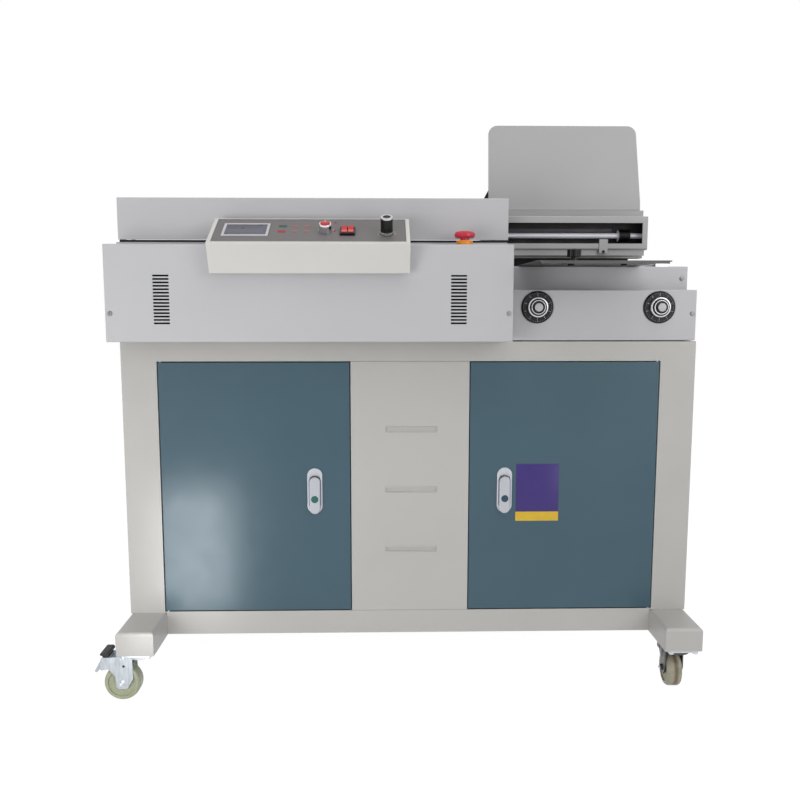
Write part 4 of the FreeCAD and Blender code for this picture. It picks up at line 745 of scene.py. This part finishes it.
# Dark grey of the stiffener bar: painted reflection of the rod on the black lining.
stiffener_reflection_paint = plastic("stiffener_reflection_paint", (74, 71, 77), 0.5, grain=700.0, variation=0.10, bump=0.08)
LINING_SECTION = ((99.9, 194.1), (99.9, 259.9), (54.2, 259.9), (54.2, 259.4), (99.4, 259.4), (99.4, 194.6),
                  (54.2, 194.6), (54.2, 194.1))
STIFFENER_REFLECTION_SECTION = ((99.3, 231), (99.3, 240), (96.6, 240), (96.0, 239.4), (96.0, 231.6), (96.6, 231))
LINING_LEFT, LINING_RIGHT, LINING_THICK = 167.1, 503.9, 0.5
RIB_COUNT, RIB_PITCH, SLEEVE_START = 13, 1.85, 0.3
RIB = ((13.0, 0), (13.6, 0.35), (13.6, 1.15), (13.0, 1.5))
SLEEVE_BORE = 12.55


def jaw_lining(mesh):
    draw_out(mesh, LINING_SECTION, LINING_LEFT, LINING_RIGHT)
    for x, axes in ((LINING_LEFT, RIGHT_SIDE), (LINING_RIGHT, LEFT_SIDE)):
        cut_slab(mesh, plane_at(x, 76.8, TABLE + 227, axes), rounded_outline(22.4, 32.2, 1), 0.0, LINING_THICK)


fit_piece("jaw_lining", jaw_lining, lining_paint, "clamp_jaw", "carriage_black")
bar_piece("jaw_stiffener_reflection", STIFFENER_REFLECTION_SECTION, 168.0, 441.0, stiffener_reflection_paint, "clamp_jaw", "carriage_black")
ribs = [(radius, SLEEVE_START + rib * RIB_PITCH + height) for rib in range(RIB_COUNT) for radius, height in RIB]
sleeve = [(SLEEVE_BORE, SLEEVE_START), *ribs, (SLEEVE_BORE, SLEEVE_START + RIB_COUNT * RIB_PITCH)]
turned_piece("collar_sleeve", [plane_at(449.0, 78, TABLE + 223, RIGHT_SIDE)], [sleeve], 48, black_plastic,
             "clamp_jaw", "knob_black")
print("lining done; sleeve ribs", RIB_COUNT)

# %% [markdown]
# Sheet-metal covers are held by pan-head screws with a cross recess. The head is a lathe profile; the
# recess is cut out with a boolean, which is how a punch makes it. One head is made and then copied, so
# that all screws are the same.

# %% Screw template
HEAD_PROFILE = ((0, 0), (4.3, 0), (4.35, 0.9), (4.0, 1.6), (3.1, 2.1), (1.6, 2.4), (0, 2.45))
ARM_LENGTH, ARM_WIDTH, RECESS_BOTTOM, RECESS_TOP = 2.0, 0.42, 1.1, 4.0


def cross_cutter(mesh):
    for x, y in ((ARM_LENGTH, ARM_WIDTH), (ARM_WIDTH, ARM_LENGTH)):
        cut_slab(mesh, Matrix.Identity(4), [(x, -y), (x, y), (-x, y), (-x, -y)], RECESS_BOTTOM, RECESS_TOP)


def evaluated_mesh(item):
    """Mesh of an object with its modifiers, or of a text."""
    bpy.context.view_layer.update()
    graph = bpy.context.evaluated_depsgraph_get()
    return bpy.data.meshes.new_from_object(item.evaluated_get(graph))


head, cutter = [add_object(name, built_mesh(name, build)) for name, build in (
    ("head_template", lambda mesh: turn_on_lathe(mesh, Matrix.Identity(4), HEAD_PROFILE, 28)),
    ("cross_template", cross_cutter))]
recess = head.modifiers.new("recess", "BOOLEAN")
recess.operation = "DIFFERENCE"
recess.solver = "EXACT"
recess.use_self = True
recess.object = cutter
screw_mesh = evaluated_mesh(head)
for template in (head, cutter):
    bpy.data.objects.remove(template)
print("screw head faces", len(screw_mesh.polygons))

# %% [markdown]
# Screws sit where the photograph shows them, one at each end of a cover, on a thin washer. Each is turned
# by another angle, as a fitter leaves them. The back gets the same screws at the usual places, along the
# edges of its removable sheets, and the gland for the supply lead gets its nut and rubber collar.

# %% Fit the screws
WASHER, WASHER_THICK = ((4.0, 0), (5.0, 0), (5.0, 0.4), (4.8, 0.6), (4.0, 0.6)), 0.55
CABINET_BACK, HEAD_BACK = 420.0, 398.0
BACK_ROWS = (TABLE - 30.0, 175.0)
GLAND_NUT = ((15.2, 0), (21.0, 0), (21.3, 0.8), (21.3, 6.2), (19.4, 7.4), (15.2, 7.4))
GLAND_SEAL = ((14.1, 8.0), (15.6, 8.0), (15.8, 12.6), (15.0, 14.6), (14.1, 14.8))
NUT_LINES = (300.0, 300.0, 300.0)
screw_zinc = drawn_metal("screw_zinc", (150, 150, 152), NUT_LINES, 0.15, 0.34, 0.0003, 0.05)


def screw_set(name, planes):
    """Screws with washers at several places, as one piece."""
    def build(mesh):
        for number, plane in enumerate(planes):
            tilt = turn_about(math.radians(23 + 37 * number))
            add_copy(mesh, screw_mesh, plane @ Matrix.Translation((0, 0, WASHER_THICK)) @ tilt)
            turn_on_lathe(mesh, plane, WASHER, 28)
    return fit_piece(name, build, screw_zinc, "frame", "zinc")


screw_set("cover_screws", [plane_at(x, -80, TABLE + z, FRONT) for x, z in ((-591.5, 59.5), (193.0, 59.0))])
screw_set("panel_screws", [plane_at(589.0, 0, TABLE + 57.5, FRONT), plane_at(582.0, 50, TABLE + 131.5, FRONT)])
screw_set("back_screws", [plane_at(x, CABINET_BACK, z, BACK) for x in (-575.0, 0.0, 575.0) for z in BACK_ROWS])
screw_set("head_screws", [plane_at(x, HEAD_BACK, TABLE + 24.0, BACK) for x in (-560.0, -200.0, 200.0, 560.0)])
gland = plane_at(-420.0, CABINET_BACK, 219.0, BACK)
turned_piece("gland_nut", [gland], [GLAND_NUT], 6, black_plastic, "frame", "black_rubber")
turned_piece("gland_seal", [gland], [GLAND_SEAL], 40, black_rubber, "frame", "black_rubber")
print("screws fitted; back rows", BACK_ROWS)

# %% [markdown]
# The two dials are the finest thing on the machine. The turned CAD knob is black; a bright ring is
# pressed round it, a thinner one sits on its step and a pale cap fills its nose.

# %% Dial rings and caps
bright_ring = drawn_metal("bright_ring", (200, 200, 203), (400.0, 400.0, 400.0), 0.06, 0.3, 0.0003, 0.04)
pale_cap = plastic("pale_cap", (186, 186, 188), 0.35, variation=0.04)
SLEEVE_RING = ((19.55, 4.1), (21.4, 4.1), (21.2, 10.6), (20.4, 12.2), (19.4, 12.6), (18.0, 12.6), (18.0, 12.45))
STEP_RING = ((13.2, 16.05), (13.2, 16.7), (14.4, 16.7), (14.9, 16.2), (14.9, 12.5), (14.05, 12.5))
NOSE_CAP = ((8.6, 19.2), (8.6, 20.3), (8.0, 20.9), (5.0, 21.3), (0, 21.4))
DIALS = {side: plane_at(x, 0, TABLE + 71, FRONT) for side, x in (("left", 264.0), ("right", 519.0))}
for side, face in DIALS.items():
    turned_piece(f"{side}_dial_rings", [face], (SLEEVE_RING, STEP_RING), 64, bright_ring, f"{side}_dial",
                 "knob_metal")
    turned_piece(f"{side}_dial_cap", [face], [NOSE_CAP], 40, pale_cap, f"{side}_dial", "knob_metal")
print("dial rings fitted")

# %% [markdown]
# Worn white lines and figures are printed round the flange of each dial. The lines are thin slabs. A
# figure is a text curve in Blender's own font, filled, turned into mesh and set to stand radially.

# %% Dial marks
white_print = plastic("white_print", (226, 226, 226), 0.5, bump=0.0, edge=0.0)
worn_print = plastic("worn_print", (168, 168, 168), 0.5, bump=0.0, edge=0.0)
MARK_COUNT, MARK_RIM, MARK_INSET, PRINT_THICK = 50, 30.4, 0.6, 0.12
FLANGE_RADIUS, FLANGE_FACE = 31.0, 4.02
FIGURE_SIZE, FIGURE_RADIUS, FIGURE_LEVEL = 5.0, 24.8, 4.1


def digit_mesh(text):
    """Mesh of a figure, centred at the origin, in millimetres."""
    curve = bpy.data.curves.new("figure", "FONT")
    curve.body, curve.size, curve.align_x, curve.align_y = text, FIGURE_SIZE, "CENTER", "CENTER"
    curve.extrude = 0.05
    curve.resolution_u = 3
    holder = add_object("figure", curve)
    mesh = evaluated_mesh(holder)
    bpy.data.objects.remove(holder)
    return mesh


FIGURES = [digit_mesh(str(number)) for number in range(10)]


def dial_marks(mesh, face):
    for mark in range(MARK_COUNT):
        start, half_width = (29.0, 0.26) if mark % 5 else (28.0, 0.4)
        turn = turn_about(-2 * math.pi * mark / MARK_COUNT)
        place = face @ turn @ Matrix.Translation((0, (FLANGE_RADIUS + start) / 2 - MARK_INSET, FLANGE_FACE))
        cut_slab(mesh, place, rounded_outline(half_width, (MARK_RIM - start) / 2, 0.1, 1), 0.0, PRINT_THICK)
    for number, figure in enumerate(FIGURES):
        turn = turn_about(-2 * math.pi * number / len(FIGURES))
        add_copy(mesh, figure, face @ turn @ Matrix.Translation((0, FIGURE_RADIUS, FIGURE_LEVEL)))


for side, face in DIALS.items():
    fit_piece(f"{side}_dial_marks", lambda mesh: dial_marks(mesh, face), worn_print, f"{side}_dial",
              "knob_metal")
print("marks", MARK_COUNT, "figures", len(FIGURES))

# %% [markdown]
# The control panel carries a display behind grey-violet glass, six membrane keys, a selector with a red
# top, two red rockers in a black frame and a tall speed knob. The keys are low pads under the film, so
# they are slabs with a soft rim, and two red status lamps are small domes.

# %% Display and keys
glass = plastic("display_glass", (98, 98, 109), 0.3, grain=200.0, variation=0.05, bump=0.0, edge=0.0,
                Specular_IOR_Level=0.15)
cut_piece("display_glass", [on_panel(-323.0, 59.5)], rounded_outline(39.8, 23.3, 0.5, 2), 0.32, 0.8, 0.2,
          glass, "frame", "display")
LARGE_KEY, SMALL_KEY = (8.0, 4.6), (5.6, 3.6)
KEYS = {"green": ((52, 86, 74), LARGE_KEY, ((-252.8, 77.5),)),
        "red": ((158, 58, 60), LARGE_KEY, ((-253.5, 53.5),)),
        "rose": ((150, 104, 104), SMALL_KEY, ((-229.0, 78.5), (-228.8, 54.0), (-205.2, 78.8), (-205.0, 54.3)))}
for name, (colour, size, places) in KEYS.items():
    paint = plastic(f"{name}_key", colour, 0.45, bump=0.04, edge=0.0, Specular_IOR_Level=0.25)
    cut_piece(f"{name}_keys", [on_panel(*p) for p in places], rounded_outline(*size, 1.4, 4), -0.6, 0.25, 0.4,
              paint, "frame", "fascia_film")
status_red = plastic("status_red", (170, 40, 44), 0.3, edge=0.0)
LAMP_DOME = ((2.2, -0.6), (2.2, 0.4), (1.4, 1.0), (0, 1.3))
turned_piece("status_lamps", [on_panel(-150.0, 56.5), on_panel(-150.5, 96.0)], [LAMP_DOME], 20, status_red,
             "frame", "rocker_red")
print("keys", sum(len(places) for colour, size, places in KEYS.values()))

# %% [markdown]
# The selector's chrome body is CAD; its red top is a pressed-in disc with a white line on it. The tall
# speed knob has a bright ring on its top and two rows of white dashes round its foot.

# %% Knob tops
top_red = plastic("top_red", (178, 36, 34), 0.3, edge=0.0)
SELECTOR_TOP = ((9.6, 16.9), (9.9, 17.3), (8.7, 19.1), (7.6, 19.7), (0, 19.9))
SPEED_RING = ((11.9, 31.2), (12.2, 31.4), (12.2, 33.2), (11.2, 34.3), (8.2, 34.5), (7.6, 34.05))
TICK_ROWS, TICK_COUNT, KNOB_RADIUS = (1.6, 4.2), 20, 12.6
selector, speed = on_panel(-168.0, 52.0), on_panel(-49.0, 44.0)


def speed_ticks(mesh):
    for number, row in enumerate(TICK_ROWS):
        for tick in range(TICK_COUNT):
            turn = turn_about(2 * math.pi * (tick + 0.5 * number) / TICK_COUNT)
            wall = Matrix.Translation((KNOB_RADIUS, 0, row)) @ turned_to(RIGHT_SIDE)
            cut_slab(mesh, speed @ turn @ wall, rounded_outline(1.1, 0.75, 0.3, 1), 0.0, 0.15)


turned_piece("selector_top", [selector], [SELECTOR_TOP], 40, top_red, "selector_knob", "rocker_red")
cut_piece("selector_line", [selector @ Matrix.Translation((0, 4.5, 19.85))], rounded_outline(0.6, 3.2, 0.4, 2),
          0.0, 0.25, 0.0, white_print, "selector_knob", "knob_metal")
turned_piece("speed_ring", [speed], [SPEED_RING], 48, bright_ring, "speed_knob", "knob_metal")
fit_piece("speed_ticks", speed_ticks, white_print, "speed_knob", "knob_metal")
print("knob tops fitted")

# %% [markdown]
# Round both knobs lies a scale of short marks, printed on the film. The selector has five, for its
# positions; the speed knob has eleven, from end to end of its turn.

# %% Panel scales
SCALE_RADIUS = 17.0
scale_places = [knob @ turn_about(math.radians(angle)) @ Matrix.Translation((0, SCALE_RADIUS, -0.5))
                for knob, angles in ((selector, (-60, -30, 0, 30, 60)), (speed, range(-135, 136, 27)))
                for angle in angles]
cut_piece("panel_scales", scale_places, rounded_outline(0.35, 1.5, 0.2, 1), 0.0, PRINT_THICK, 0.0, white_print,
          "frame", "fascia_film")
print("scale marks", len(scale_places))

# %% [markdown]
# A black moulded frame snaps round the rocker pair. It is a slab with its middle left out: two outlines
# joined by faces, inner and outer, with the outer rim drawn in.

# %% Rocker frame
FRAME_LOW, FRAME_HIGH, FRAME_RIM = -0.45, 4.75, 0.8


def cut_frame(mesh, plane, outer, inner, low, high, rim):
    """Slab ring between two outlines with the same number of corners."""
    loops = []
    for outline, height, inset in ((inner, low, 0), (outer, low, 0), (outer, high - rim, 0), (outer, high, rim),
                                   (inner, high, 0)):
        shares = [1 - inset / math.hypot(x, y) for x, y in outline]
        loops.append([mesh.verts.new(plane @ Vector((x * share, y * share, height)))
                      for (x, y), share in zip(outline, shares)])
    join_loops(mesh, loops + loops[:1])


fit_piece("rocker_frame", lambda mesh: cut_frame(
    mesh, on_panel(-125.0, 50.0), rounded_outline(14.9, 15.9, 1.6, 4), rounded_outline(12.35, 11.9, 0.6, 4),
    FRAME_LOW, FRAME_HIGH, FRAME_RIM), black_plastic, "frame", "knob_black")
print("rocker frame 30 by 32 mm")

# %% [markdown]
# Each swing lock has a thin dark arch on its plate round the lever's head: painted shade, the fine dark line of
# the recess round the lever. It is an arch outside the lever's outline, so the lever's heel can tip in behind
# it, and thin enough for the lever to turn over it.

# %% Lock recess shade
SHADE_OUTER, SHADE_INNER, SHADE_LEG, SHADE_THICK = 12.8, 11.75, 52.0, 0.24
PLATE_FACE, LEVER_HEAD_Z = -2.98, 443.5


def half_ring(radius):
    """Points of a half circle, from right to left over the top."""
    angles = [math.radians(step * 10) for step in range(19)]
    return [(radius * math.cos(a), radius * math.sin(a)) for a in angles]


# Thin dark arch round each lever's head: painted shade of the recess it sits in.
shade_arch = [(SHADE_OUTER, -SHADE_LEG), *half_ring(SHADE_OUTER), (-SHADE_OUTER, -SHADE_LEG),
             (-SHADE_INNER, -SHADE_LEG), *reversed(half_ring(SHADE_INNER)), (SHADE_INNER, -SHADE_LEG)]
for side, x in (("left", -201.5), ("right", 201.5)):
    cut_piece(f"{side}_lock_recess_shade", [plane_at(x, PLATE_FACE, LEVER_HEAD_Z, FRONT)], shade_arch, 0.0, SHADE_THICK,
              0.0, black_rubber, f"{side}_door", "lock_chrome")
print("lock seals", SHADE_THICK, "mm thick")

# %% [markdown]
# On the right door there is a blank sticker in two colours. Film has a thickness, and its edge catches a
# little light, so it is a thin slab and not paint on the door.

# %% Sticker
STICKER_X, STICKER_HALF, FILM_THICK = 272.0, 46, 0.22
for part, tint, colour, z, half_height in (("upper", "violet", (50, 32, 108), 428.0, 52),
                                           ("lower", "yellow", (208, 172, 44), 366.0, 10)):
    film = plastic(f"sticker_{tint}", colour, 0.38, grain=300.0, edge=0.0)
    cut_piece(f"sticker_{part}", [plane_at(STICKER_X, 0.05, z, FRONT)],
              rounded_outline(STICKER_HALF, half_height, 1.0, 3), 0.0, FILM_THICK, 0.08, film, "right_door",
              "door_paint")
print("sticker 92 by 124 mm, blank")

# %% [markdown]
# The casters are bolted up from below and their axles end in nuts. A hexagon is a lathe profile with six steps;
# its top gets the chamfer that every nut has. Four bolts hold each mounting plate, and each cheek of a fork has
# one small hole, drawn as a thin dark disc: painted shade inside the hole.

# %% Caster hardware
CASTERS = {"front_left": (-561.75, -66.0, 180.0), "front_right": (561.75, -66.0, 86.0),
           "rear_left": (-561.75, 439.0, 90.0), "rear_right": (561.75, 439.0, 60.0)}
HEX_NUT = ((3.0, 0), (6.2, 0), (6.3, 0.4), (6.3, 3.4), (5.4, 4.0), (3.0, 4.0))
BOLT_END = ((3.0, 3.6), (3.0, 5.6), (2.4, 6.2), (0, 6.2))
AXLE_NUT = [(r * 0.82, h * 0.55) for r, h in HEX_NUT]
AXLE_END = [(r * 0.75, h * 0.75 - 0.7) for r, h in BOLT_END]
PLATE_BOLT = [(r * 0.9, h * 0.75) for r, h in HEX_NUT] + [(0, 3.0)]
CHEEK_HOLE_SHADE = ((0, 0.12), (2.6, 0.12), (2.8, 0))
AXLE, HOLE = (37.0, 22.1, 37.5), (31.0, 19.1, 75.5)
PLATE_UNDERSIDE, BOLT_X, BOLT_Y = 104.0, 25, 38
nut_zinc = drawn_metal("nut_zinc", (206, 208, 212), NUT_LINES, 0.15, 0.32, 0.0004, 0.05)
# Dark disc on each fork cheek: painted shade of a hole.
hole_shade_black = plastic("hole_shade_black", (20, 20, 20), 0.6, edge=0.0)


def on_cheeks(swivel, place):
    """Planes on both outer sides of a fork; place is along it, out from its middle, and up."""
    along, out, up = place
    return [swivel @ (Matrix.Translation((along, sign * out, up)) @ turned_to(axes))
            for sign, axes in ((1, BACK), (-1, FRONT))]


def axle_nuts(mesh, planes):
    for plane in planes:
        turn_on_lathe(mesh, plane, AXLE_NUT, 6)
        turn_on_lathe(mesh, plane, AXLE_END, 20)


for name, (x, y, heading) in CASTERS.items():
    floor_point = Matrix.Translation(Vector((x, y, 0)) * MM)
    swivel = floor_point @ turn_about(math.radians(heading)) @ Matrix.Scale(MM, 4)
    fit_piece(f"{name}_axle_nuts", lambda mesh: axle_nuts(mesh, on_cheeks(swivel, AXLE)), nut_zinc,
              f"{name}_fork", "zinc")
    turned_piece(f"{name}_fork_hole_shade", on_cheeks(swivel, HOLE), [CHEEK_HOLE_SHADE], 20, hole_shade_black, f"{name}_fork",
                 "zinc")
    turned_piece(f"{name}_plate_bolts", [plane_at(x + dx, y + dy, PLATE_UNDERSIDE, DOWNWARD)
                                         for dx in (-BOLT_X, BOLT_X) for dy in (-BOLT_Y, BOLT_Y)],
                 [PLATE_BOLT], 6, nut_zinc, "frame", "zinc")
print("casters with nuts", len(CASTERS))

# %% [markdown]
# The bracket on the jaw is pinched by a black grub screw, and three hexagon bolts hold the feed tray from
# below.

# %% Clamp and tray hardware
GRUB_SCREW = ((2.9, 0), (3.0, 1.6), (2.6, 2.2), (1.5, 2.2), (1.3, 1.0), (0, 1.0))
TRAY_BOLTS = ((292.0, -118.0), (318.0, -60.0), (425.0, -60.0))
turned_piece("bracket_screw", [plane_at(412.0, 50.0, TABLE + 188.0, FRONT)], [GRUB_SCREW], 20, black_plastic,
             "clamp_jaw", "knob_black")
turned_piece("tray_bolts", [plane_at(x, y, TABLE + 158.0, DOWNWARD) for x, y in TRAY_BOLTS],
             [(*HEX_NUT, (0, 4.0))], 6, black_plastic, "nip", "tray_steel")
print("clamp hardware fitted; tray bolts", len(TRAY_BOLTS))
